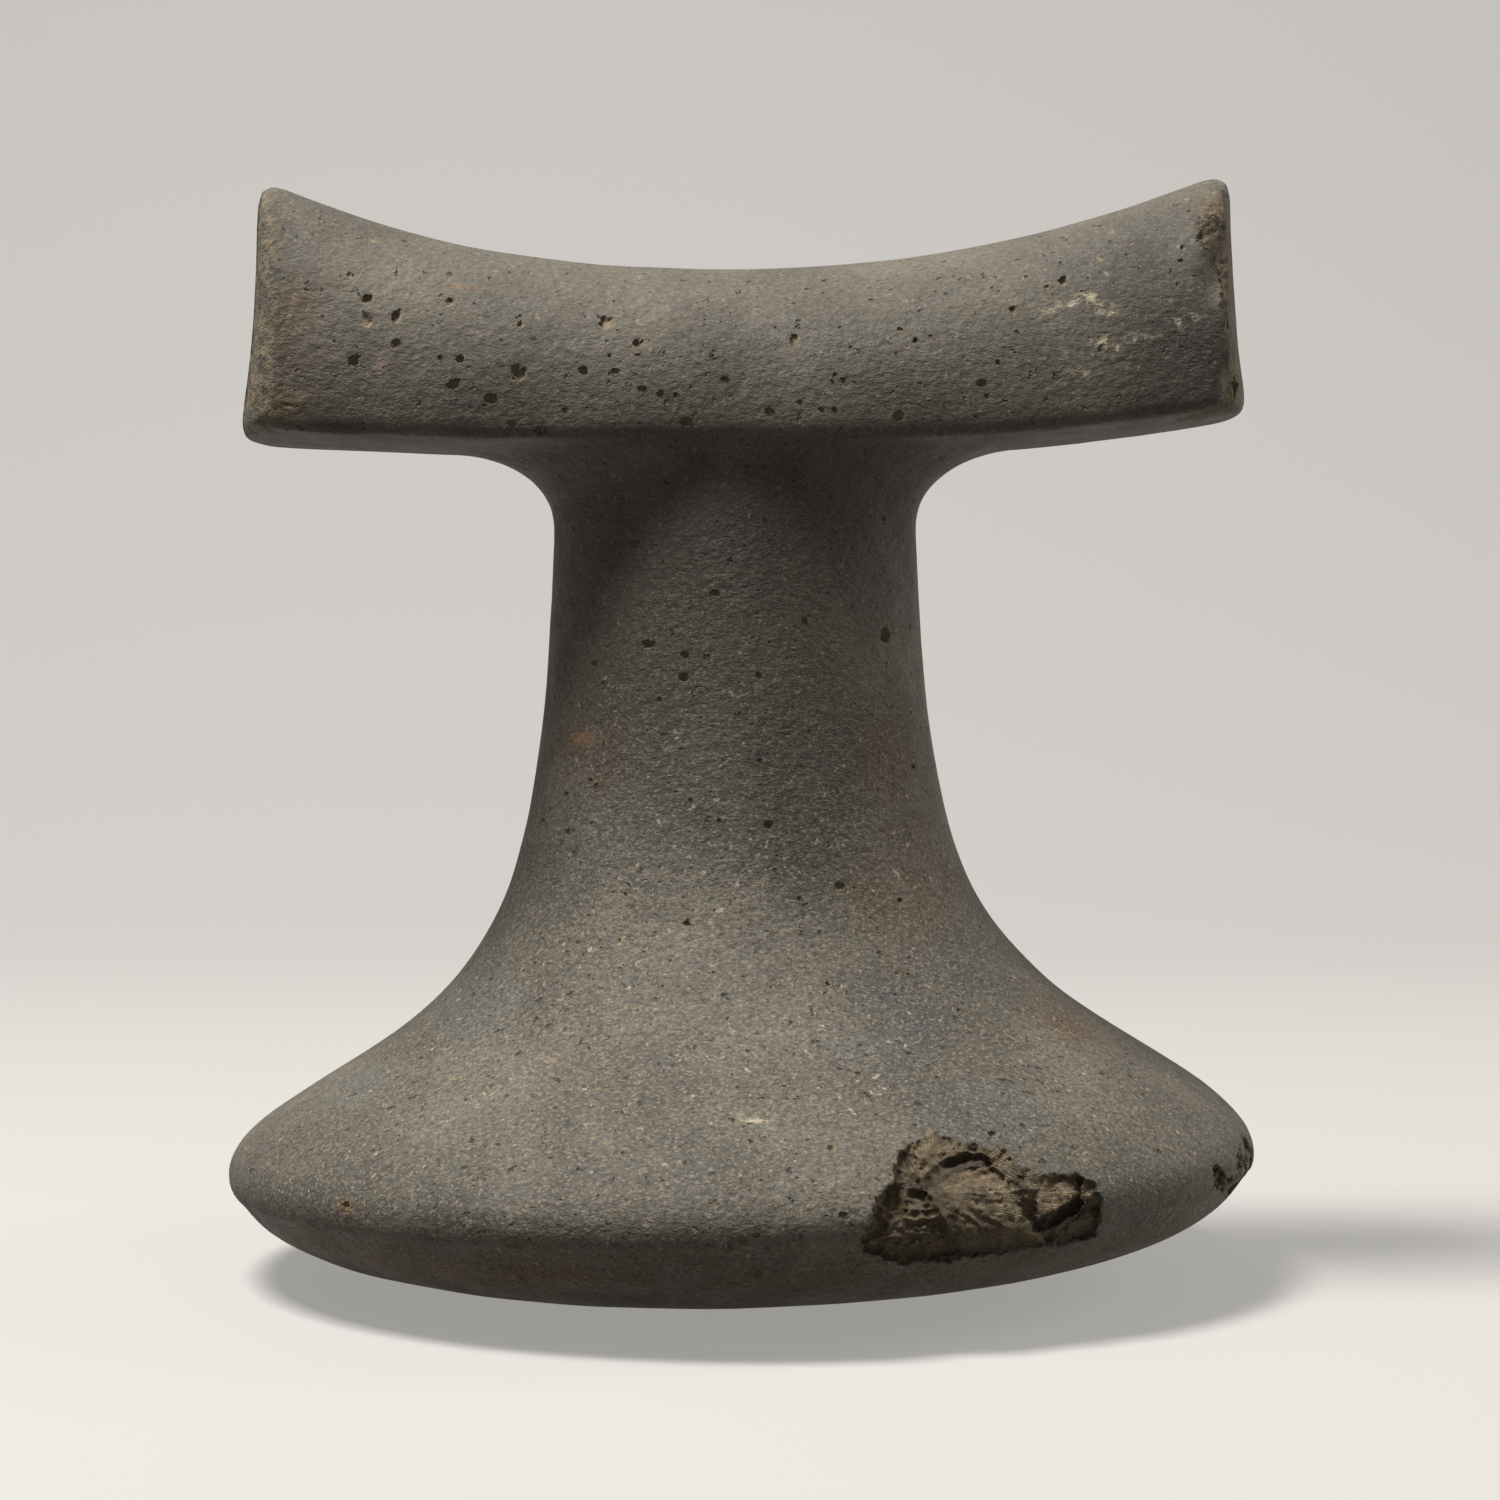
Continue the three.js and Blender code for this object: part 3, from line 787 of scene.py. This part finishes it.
def cut_bubbles(places, normals, bubbles, dice):
    """How deep each place sinks, in which direction, and how much of it belongs to a bubble"""
    tree = KDTree(len(places))
    for index, place in enumerate(places):
        tree.insert(place, index)
    tree.balance()
    depth = np.zeros(len(places))
    way = np.zeros((len(places), 3))
    share = np.zeros(len(places))
    for bubble in bubbles:
        reach = bubble_search * max(bubble.length, bubble.width)
        found = np.array([index for _, index, _ in tree.find_range(bubble.place, reach)], int)
        near = found[normals[found] @ np.array(bubble.way) > bubble_open]
        turn = dice.uniform(0, math.tau)
        lobes = dice.uniform(*bubble_lobes)
        offset = places[near] - np.array(bubble.place)
        along, across = (offset @ np.array(axis) for axis in bubble_axes(bubble))
        angle = np.arctan2(across, along)
        waves = sum(np.cos(count * angle + count ** 2 * turn) for count in bubble_waves)
        out = np.hypot(along / (bubble.length / 2), across / (bubble.width / 2))
        out /= 1 + lobes * waves
        wall = 1 - smoothstep(*bubble_wall, out)
        sunk = bubble.depth * wall * (1 - bubble_dish * np.minimum(out, 1) ** 2)
        deeper = sunk > depth[near]
        depth[near[deeper]] = sunk[deeper]
        way[near[deeper]] = bubble.way
        share[near] = np.maximum(share[near], wall)
    return depth, way, share


# The broken stone


def carved(pixels, facets):
    """How far broken stone lies behind the unbroken stone at each pixel, and its tint"""
    depth = np.zeros(len(pixels))
    tint = np.zeros(len(pixels))
    for facet in facets:
        offset = (pixels - np.array(facet.middle)) / facet_step
        plane = facet.depth + offset[:, 0] * facet.across + offset[:, 1] * facet.down
        share = smoothstep(-facet.edge / 2, facet.edge / 2, inside_distance(facet.outline, pixels))
        depth += (np.maximum(plane, 0) - depth) * share
        tint += (facet.tint - tint) * share
    return depth, tint


def bulb_relief(pixels):
    """Fine ridges that fan out over the bulb from its tip, and the bulb's own swelling"""
    offset = pixels - np.array(bulb_tip)
    angle = np.arctan2(offset[:, 1], offset[:, 0])
    reach = np.linalg.norm(offset, axis=1)
    height = bulb_ridge_height * np.minimum(1, reach / ridges_reach)
    inside = inside_distance(bulb.outline, pixels)
    swell = bulb_swell * smoothstep(0, bulb_swell_width, inside)
    ridges = height * flat_cloud(angle * bulb_ridges, reach / ridge_length, "bulb")
    return (ridges - swell) * smoothstep(*bulb_fade, inside)


def hollow_relief(pixels):
    """Level ripples in the hollow at the scar's left"""
    length, width = hollow_ripple
    inside = inside_distance(left_hollow.outline, pixels)
    ripples = flat_cloud(pixels[:, 0] / length, pixels[:, 1] / width, "hollow")
    return hollow_ripple_height * ripples * smoothstep(*hollow_fade, inside)


def corner_relief(pixels):
    """Stripes along the worn bevel at the bar's lower right corner"""
    length, width = corner_stripe
    inside = inside_distance(corner_outline, pixels)
    stripes = flat_cloud(inside / width, pixels[:, 0] / length, "corner")
    return corner_stripe_height * stripes * smoothstep(*corner_fade, inside)


def chips(places, dice):
    """Small random facets, as stone that broke in chips has"""
    warp_length, warp_height = chip_warp
    warped = places + warp_height * cloud(places, warp_length, "chips")[:, None]
    low = warped.min(axis=0)
    high = warped.max(axis=0)
    count = int(np.prod((high - low) / chip_spacing + 1))
    seeds = [[dice.uniform(*limits) for limits in zip(low, high)] for _ in range(count)]
    rise, tilt = chip_depths
    rises = [dice.uniform(-rise, rise) for _ in seeds]
    tilts = [[dice.uniform(-tilt, tilt) for _ in range(3)] for _ in seeds]
    tree = KDTree(count)
    for index, seed in enumerate(seeds):
        tree.insert(seed, index)
    tree.balance()
    nearest = np.array([tree.find(place)[1] for place in warped])
    offset = warped - np.array(seeds)[nearest]
    return np.array(rises)[nearest] + (offset * np.array(tilts)[nearest]).sum(axis=1)


def carve_broken_places(places, normals, dice):
    """Cuts the broken places into the stone, and says how broken, light and rough each point is"""
    sight = places - np.array(camera_place)
    sight /= np.linalg.norm(sight, axis=1)[:, None]
    turned = turned_to_camera(places, normals)
    faces = smoothstep(*facing, turned)[:, None]
    inward = sight * faces - normals * (1 - faces)
    pixels = in_picture(places)
    seen = smoothstep(*in_view, turned)
    broken = np.zeros(len(places))
    tint = np.zeros(len(places))
    rough = np.zeros(len(places))
    fan = np.arctan2(pixels[:, 1] - bulb_tip[1], pixels[:, 0] - bulb_tip[0])
    length, width = ragged_outline
    for axis, pattern in enumerate(("teeth_across", "teeth_down")):
        pixels[:, axis] += width * flat_cloud(pixels[:, 0] / length, pixels[:, 1] / length, pattern)
    for broken_place in broken_places:
        share = smoothstep(*broken_fade, inside_distance(broken_place.outline, pixels)) * seen
        share *= 1 - smoothstep(*broken_place.ends, places[:, 1])
        if broken_place is nick:
            patchy = np.flatnonzero(share > 0)
            patches = cloud(places[patchy], nick_patches, "nick")
            share[patchy] *= smoothstep(*nick_patch_levels, patches)
        here = np.flatnonzero(share > 0)
        depth, facet_tint = carved(pixels[here], broken_place.facets)
        deep = np.minimum(depth / rough_from, 1)
        smoother = smoothstep(*bulb_calm_fade, inside_distance(bulb.outline, pixels[here]))
        chipped = deep * broken_place.roughness * (1 + (bulb_chip_share - 1) * smoother)
        rough[here] = np.maximum(rough[here], chipped * share[here])
        if broken_place is scar:
            depth += (bulb_relief(pixels[here]) + hollow_relief(pixels[here])) * deep
        if broken_place is bar_corner:
            depth += corner_relief(pixels[here])
        depth += chips(places[here], dice) * chipped
        places[here] += inward[here] * (np.maximum(depth, 0) * share[here])[:, None]
        broken[here] = np.maximum(broken[here], share[here])
        tint[here] = facet_tint
    return {"broken": broken, "tint": tint, "rough": rough, "fan": fan * fan_lines}


# Marks


def mark_shares(places, normals, marks):
    """How much each place belongs to a set of oval marks"""
    pixels = in_picture(places)
    share = np.zeros(len(places))
    for x, y, half_width, half_height in marks:
        offset = (pixels - np.array((x, y))) / np.array((half_width, half_height))
        out = np.linalg.norm(offset, axis=1)
        share = np.maximum(share, 1 - smoothstep(*mark_fade, out))
    return share * smoothstep(*mark_facing, turned_to_camera(places, normals))


def pecked_share(places, normals):
    """How much each place belongs to the pecked edges at the bar's ends"""
    full, right, top, bottom = pecked_left
    pixels = in_picture(places)
    strip = smoothstep(right, full, pixels[:, 0]) * (turned_to_camera(places, normals) > 0)
    strip *= (pixels[:, 1] > top) & (pixels[:, 1] < bottom) & (places[:, 2] > pecked_bottom)
    edge = smoothstep(pecked_from, pecked_from + pecked_width, np.abs(places[:, 0]))
    edge *= (places[:, 2] > pecked_bottom) * smoothstep(*pecked_turns, np.abs(normals[:, 1]))
    return np.maximum(strip, edge * smoothstep(*pecked_turns, np.abs(normals[:, 0])))


# Refining


def long_edges(bm, bubbles):
    """Which edges are too long for the detail that they cross"""
    places = places_of(bm)
    bm.verts.index_update()
    ends = np.array([[vert.index for vert in edge.verts] for edge in bm.edges])
    middles = places[ends].mean(axis=1)
    normals = normals_of(bm)[ends].mean(axis=1)
    lengths = np.linalg.norm(places[ends[:, 0]] - places[ends[:, 1]], axis=1)
    wanted = np.full(len(ends), float(outside))

    def want(spacing, where):
        """Asks for this spacing, where no finer one is asked for"""
        wanted[where] = np.minimum(wanted[where], spacing)

    pixels = in_picture(middles)
    seen = turned_to_camera(middles, normals) > in_view[0]
    for broken_place in broken_places:
        inside = inside_distance(broken_place.outline, pixels) + lengths / pixel_size / 2
        ahead = middles[:, 1] < broken_place.ends[1]
        want(broken_spacing, seen & (inside > -broken_margin) & ahead)
    clear_marks = [*pale_marks, *pink_marks, *orange_marks]
    want(mark_spacing, mark_shares(middles, normals, clear_marks) > 0)
    want(pecked_spacing, pecked_share(middles, normals) > pecked_least)
    tree = KDTree(len(middles))
    for index, middle in enumerate(middles):
        tree.insert(middle, index)
    tree.balance()
    longest = lengths.max()
    for bubble in bubbles:
        size = min(bubble.length, bubble.width)
        reach = bubble_reach * max(bubble.length, bubble.width)
        near = tree.find_range(bubble.place, reach + longest / 2)
        crossing = [index for _, index, away in near if away < reach + lengths[index] / 2]
        want(max(size / bubble_steps, finest_spacing), crossing)
    return lengths > long_edge * wanted


def refine(bm, bubbles):
    """Splits edges until they are as short as the detail that they cross wants"""
    for _ in range(refining_rounds):
        chosen = [edge for edge, is_long in zip(bm.edges, long_edges(bm, bubbles)) if is_long]
        if not chosen:
            break
        bmesh.ops.subdivide_edges(
            bm, edges=chosen, cuts=1, use_grid_fill=True, use_single_edge=True
        )
        bmesh.ops.triangulate(bm, faces=[face for face in bm.faces if len(face.verts) > 3])
    split = [
        vert for vert in bm.verts
        if min(edge.calc_length() for edge in vert.link_edges) < split_share * fine_spacing
    ]
    smooth(bm, split, smoothing_rounds)


def paint(bm, name, shares):
    """Gives each point its share of something, for the finish to read"""
    layer = bm.verts.layers.float.new(name)
    for vert, share in zip(bm.verts, shares):
        vert[layer] = share


def shaped_stone():
    """The stone with its broken places, bubbles, pecked edges and marks"""
    dice = random.Random(bubble_seed)
    bm = mapped(even_stone())
    bmesh.ops.triangulate(bm, faces=bm.faces)
    tree = BVHTree.FromBMesh(bm)
    bubbles = all_bubbles(tree, dice)
    refine(bm, bubbles)

    places = places_of(bm)
    normals = normals_of(bm)
    shares = {"pecked": pecked_share(places, normals)}
    for name, marks in (
        ("pale", pale_marks), ("pink", pink_marks), ("orange", orange_marks),
        ("brown", brown_marks), ("blue", blue_marks), ("dark", painted_shade_marks),
    ):
        shares[name] = mark_shares(places, normals, marks)
    wave = cloud(places, wave_length, "waves")
    places -= normals * (wave_depth * smoothstep(-1, 1, wave))[:, None]
    shares.update(carve_broken_places(places, normals, dice))
    rough = np.maximum(shares.pop("rough"), pecked_roughness * shares["pecked"])
    put(bm, places)

    normals = normals_of(bm)
    depth, way, shares["bubble"] = cut_bubbles(places, normals, bubbles, dice)
    places -= way * depth[:, None]
    put(bm, places)

    normals = normals_of(bm)
    here = np.flatnonzero(rough > 0)
    relief = np.zeros(len(places))
    for wavelength, height in zip(rough_wavelengths, rough_heights):
        relief[here] += height * (0.5 + 0.5 * cloud(places[here], wavelength, "rough"))
    places -= normals * (relief * rough)[:, None]
    put(bm, places)

    for name, share in shares.items():
        paint(bm, name, share)
    bmesh.ops.scale(bm, vec=(1 / metre, 1 / metre, 1 / metre), verts=bm.verts)
    for face in bm.faces:
        face.smooth = True
    return bm


# The finish of the stone


def node(tree, kind, inputs=None, **settings):
    """A new shader node with its settings, and a value or another node's output in each input"""
    made = tree.nodes.new("ShaderNode" + kind)
    for name, value in settings.items():
        setattr(made, name, value)
    for name, value in (inputs or {}).items():
        if isinstance(value, bpy.types.NodeSocket):
            tree.links.new(value, made.inputs[name])
        else:
            made.inputs[name].default_value = value
    return made


def colour(shown):
    """A colour as the shader wants it, from what it looks like on a screen"""
    lights = []
    for value in shown:
        share = value / screen_white
        if share <= straight_end:
            lights.append(share / straight_slope)
        else:
            lights.append(((share + curve_offset) / (1 + curve_offset)) ** curve_power)
    return (*lights, 1)


def span(tree, value, low, high, to_low=0.0, to_high=1.0):
    """A value that runs between two limits, taken to run between two others"""
    made = node(
        tree, "MapRange",
        {"Value": value, "From Min": low, "From Max": high, "To Min": to_low, "To Max": to_high},
    )
    return made.outputs["Result"]


def combined(tree, first, second, how):
    """Two values brought together by a kind of sum"""
    return node(tree, "Math", {0: first, 1: second}, operation=how).outputs[0]


def product(tree, first, second):
    """The product of two values"""
    return combined(tree, first, second, "MULTIPLY")


def total(tree, first, second):
    """The sum of two values"""
    return combined(tree, first, second, "ADD")


def greatest(tree, first, second):
    """The larger of two values"""
    return combined(tree, first, second, "MAXIMUM")


def mixed(tree, share, below, above, way="MIX"):
    """One colour laid over another, by the sockets of a Mix node that are for colours"""
    made = node(tree, "Mix", {0: share, 6: below, 7: above}, data_type="RGBA", blend_type=way)
    return made.outputs[2]


def grey(tree, level):
    """A grey of this level"""
    return node(tree, "CombineColor", {0: level, 1: level, 2: level}).outputs[0]


def attribute(tree, name):
    """What was painted on the stone under this name"""
    return node(tree, "Attribute", attribute_name=name).outputs["Fac"]


def clouds(tree, place, wavelength, detail, roughness):
    """Noise of about 0 to 1"""
    made = node(
        tree, "TexNoise",
        {"Vector": place, "Scale": 1 / wavelength, "Detail": detail, "Roughness": roughness},
    )
    return made.outputs[0]


def flecks(tree, place, kind):
    """1 in ragged flecks and 0 between them"""
    spotted = clouds(tree, place, kind.wavelength, *fleck_pattern)
    return span(tree, spotted, kind.level, kind.level + fleck_edge)


def shades(tree, value, ends, dark, light):
    """A colour that runs from a dark one to a light one as a value goes between its ends"""
    ramp = node(tree, "ValToRGB", {0: value})
    for element, position, shade in zip(ramp.color_ramp.elements, ends, (dark, light)):
        element.position = position
        element.color = colour(shade)
    return ramp.outputs[0]


def stained_and_shaded_skin(tree, beside, height, patches):
    """The mottled grey of the ground surface, with its stains, and painted shade on the neck below
    the bar
    """
    skin = shades(tree, patches, patch_ends, dark_skin, light_skin)
    fine_clouds = clouds(tree, beside, *stain_pattern)
    blue = product(tree, attribute(tree, "blue"), span(tree, fine_clouds, *blue_span))
    skin = mixed(tree, blue, skin, colour(blue_stain))
    uneven_height = total(tree, height, span(tree, patches, *uneven_span))
    sole = span(tree, uneven_height, *sole_span)
    brown = greatest(tree, attribute(tree, "brown"), sole)
    brown = product(tree, brown, span(tree, fine_clouds, *brown_span))
    skin = mixed(tree, brown, skin, colour(brown_stain))
    # painted shade, mostly on the neck below the bar
    dark = product(tree, attribute(tree, "dark"), painted_shade_share)
    return mixed(tree, dark, skin, colour(painted_shade_colour))


def ground_skin(tree, place, lying, beside, aslant, grain):
    """The colour of the ground surface: mottled grey with stains, painted shade, grains and specks
    """
    height = node(tree, "SeparateXYZ", {0: place}).outputs[2]
    skin = stained_and_shaded_skin(tree, beside, height, clouds(tree, place, *patch_pattern))
    speckled = span(tree, height, *speckle_span)
    grainy = grey(tree, span(tree, grain, *grain_span))
    skin = mixed(tree, speckled, skin, grainy, "MULTIPLY")
    for kind, where in (
        (small_pale_flecks, lying), (large_pale_flecks, beside), (small_dark_flecks, aslant),
    ):
        covering = product(tree, flecks(tree, where, kind), product(tree, speckled, kind.share))
        skin = mixed(tree, covering, skin, colour(kind.shade))

    net = span(tree, clouds(tree, place, *crust_pattern), *crust_span)
    broken_up = span(tree, grain, *coloured_grain_span)
    for name, texture, shade in (
        ("pale", net, pale_crust), ("pink", broken_up, pink_grains),
        ("orange", broken_up, orange_grains),
    ):
        covering = product(tree, attribute(tree, name), texture)
        skin = mixed(tree, covering, skin, colour(shade))
    return skin


def broken_skin(tree, broken_cloud, sandy):
    """The colour of fresh stone where pieces broke off, darker or lighter by its facets' tint; in
    deep pockets that darkness is painted shade
    """
    dark = shades(tree, broken_cloud, break_ends, *dark_break)
    light = shades(tree, broken_cloud, break_ends, *light_break)
    fresh = mixed(tree, attribute(tree, "tint"), dark, light)
    return mixed(tree, 1.0, fresh, grey(tree, span(tree, sandy, *sand_span)), "MULTIPLY")


def stone_relief(tree, place, grain, pored, broken_cloud, sandy):
    """The height of the surface in millimetres: pecked and grainy, and ragged where it is broken"""
    cells = {"Vector": place, "Scale": 1 / peck_size, "Smoothness": peck_smoothness}
    pecks = node(tree, "TexVoronoi", cells, feature="SMOOTH_F1").outputs["Distance"]
    relief = total(tree, product(tree, pecks, peck_relief), product(tree, grain, grain_relief))
    relief = total(tree, relief, product(tree, pored, pore_relief))
    fan = {"W": attribute(tree, "fan"), "Scale": 1.0}
    lines = node(tree, "TexNoise", fan, noise_dimensions="1D").outputs[0]
    ragged = total(
        tree, product(tree, broken_cloud, break_relief), product(tree, sandy, sand_relief)
    )
    ragged = total(tree, ragged, product(tree, lines, line_relief))
    torn = greatest(tree, attribute(tree, "broken"), attribute(tree, "pecked"))
    rough_places = greatest(tree, torn, attribute(tree, "bubble"))
    return total(tree, relief, product(tree, rough_places, ragged))


def basalt():
    """Dark, fine-grained stone with pale specks, stains, browner broken places, and painted shade on
    the neck, in tiny pores and in deep pockets of the broken places
    """
    material = bpy.data.materials.new("basalt")
    material.use_nodes = True
    tree = material.node_tree
    shader = tree.nodes["Principled BSDF"]
    shader.inputs["Specular IOR Level"].default_value = stone_gloss
    object_place = node(tree, "TexCoord").outputs["Object"]
    scaled = node(tree, "VectorMath", {0: object_place, "Scale": metre}, operation="SCALE")
    place = scaled.outputs[0]
    lying = node(tree, "Mapping", {"Vector": place, "Scale": lying_squeeze}).outputs[0]
    beside = node(tree, "Mapping", {"Vector": place, "Location": beside_shift}).outputs[0]
    aslant = node(tree, "Mapping", {"Vector": place, "Rotation": aslant_turn}).outputs[0]
    grain = clouds(tree, lying, *grain_pattern)
    broken_cloud = clouds(tree, place, *break_pattern)
    sandy = clouds(tree, aslant, *sand_pattern)
    pored = flecks(tree, aslant, pores)
    broken = attribute(tree, "broken")

    skin = ground_skin(tree, place, lying, beside, aslant, grain)
    # painted shade in the tiny pores
    skin = mixed(tree, product(tree, pored, pores.share), skin, colour(pores.shade))
    fresh = broken_skin(tree, broken_cloud, sandy)
    skin = mixed(tree, product(tree, broken, broken_share), skin, fresh)
    pecked = product(tree, attribute(tree, "pecked"), span(tree, broken_cloud, *pecked_span))
    skin = mixed(tree, pecked, skin, colour(pecked_shade))
    lining = product(tree, attribute(tree, "bubble"), span(tree, grain, *lining_span))
    skin = mixed(tree, lining, skin, colour(bubble_shade))
    tree.links.new(skin, shader.inputs["Base Color"])

    worn = span(tree, clouds(tree, beside, *gloss_pattern), *gloss_span)
    dull = total(tree, worn, product(tree, broken, broken_dullness))
    tree.links.new(dull, shader.inputs["Roughness"])
    relief = stone_relief(tree, place, grain, pored, broken_cloud, sandy)
    bump = node(tree, "Bump", {"Strength": 1.0, "Distance": 1 / metre, "Height": relief})
    tree.links.new(bump.outputs[0], shader.inputs["Normal"])
    return material


# The studio


def new_lamp(lamp):
    """A lamp that shines at the middle of the stone"""
    light = bpy.data.lights.new(lamp.name, "AREA")
    light.shape = "RECTANGLE"
    light.size = lamp.width
    light.size_y = lamp.height
    light.energy = lamp.power
    light.color = lamp.tint
    made = bpy.data.objects.new(lamp.name, light)
    made.location = lamp.place
    made.rotation_euler = (stone_middle - made.location).to_track_quat("-Z", "Y").to_euler()
    bpy.context.scene.collection.objects.link(made)


def directly_seen(tree):
    """1 for what the camera sees, also in mirrors and through glass, 0 for light on the stone"""
    rays = node(tree, "LightPath").outputs
    mirrored = greatest(tree, rays["Is Glossy Ray"], rays["Is Transmission Ray"])
    return greatest(tree, rays["Is Camera Ray"], mirrored)


def pale_floor():
    """A floor that looks pale, keeps the stone's shadow, and throws little light up at the stone"""
    material = bpy.data.materials.new("pale_floor")
    material.use_nodes = True
    tree = material.node_tree
    shader = tree.nodes["Principled BSDF"]
    seen = directly_seen(tree)
    unseen_shade, seen_shade = floor_shades
    shade = mixed(tree, seen, colour(unseen_shade), colour(seen_shade))
    tree.links.new(shade, shader.inputs["Base Color"])
    shader.inputs["Roughness"].default_value = floor_roughness
    shader.inputs["Emission Color"].default_value = colour(floor_light)
    tree.links.new(product(tree, seen, floor_glow), shader.inputs["Emission Strength"])
    return material


def kept(items, kind):
    """The items of one kind among vertices, edges and faces"""
    return [item for item in items if isinstance(item, kind)]


def floor():
    """A sweep: a level floor that turns up behind the stone"""
    front, back, turn, top, half = floor_sizes
    bm = bmesh.new()
    edge = bm.edges.new([bm.verts.new((x, front, 0)) for x in (-half, half)])
    level = bmesh.ops.extrude_edge_only(bm, edges=[edge])["geom"]
    bmesh.ops.translate(bm, vec=(0, back - front, 0), verts=kept(level, bmesh.types.BMVert))
    turned = bmesh.ops.spin(
        bm,
        geom=kept(level, bmesh.types.BMVert) + kept(level, bmesh.types.BMEdge),
        cent=(0, back, turn),
        axis=(1, 0, 0),
        angle=math.pi / 2,
        steps=turn_steps,
    )["geom_last"]
    wall = bmesh.ops.extrude_edge_only(bm, edges=kept(turned, bmesh.types.BMEdge))["geom"]
    bmesh.ops.translate(bm, vec=(0, 0, top), verts=kept(wall, bmesh.types.BMVert))
    bmesh.ops.recalc_face_normals(bm, faces=bm.faces)
    for face in bm.faces:
        face.smooth = True
    made = new_object("floor", bm)
    made.data.materials.append(pale_floor())


def studio():
    """The floor, the lamps, the world and the photograph's camera"""
    floor()
    for lamp in lamps:
        new_lamp(lamp)
    world = bpy.data.worlds.new("studio")
    world.use_nodes = True
    tree = world.node_tree
    sky = tree.nodes["Background"]
    sky.inputs["Color"].default_value = colour(sky_shade)
    strength = span(tree, directly_seen(tree), 0, 1, *sky_strengths)
    tree.links.new(strength, sky.inputs["Strength"])
    scene = bpy.context.scene
    scene.world = world
    scene.view_settings.view_transform = "Standard"
    camera = bpy.data.cameras.new("camera")
    camera.sensor_width = sensor_width
    camera.lens = sensor_width * focal_pixels / picture_size
    camera.clip_start = nearest_seen
    made = bpy.data.objects.new("camera", camera)
    made.matrix_world = Matrix.LocRotScale(camera_place / metre, camera_turn.to_quaternion(), None)
    scene.collection.objects.link(made)
    scene.camera = made


stone = new_object("pounder_stone", shaped_stone())
stone.data.materials.append(basalt())
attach(stone, "root")
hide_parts("stone_pounder")
studio()
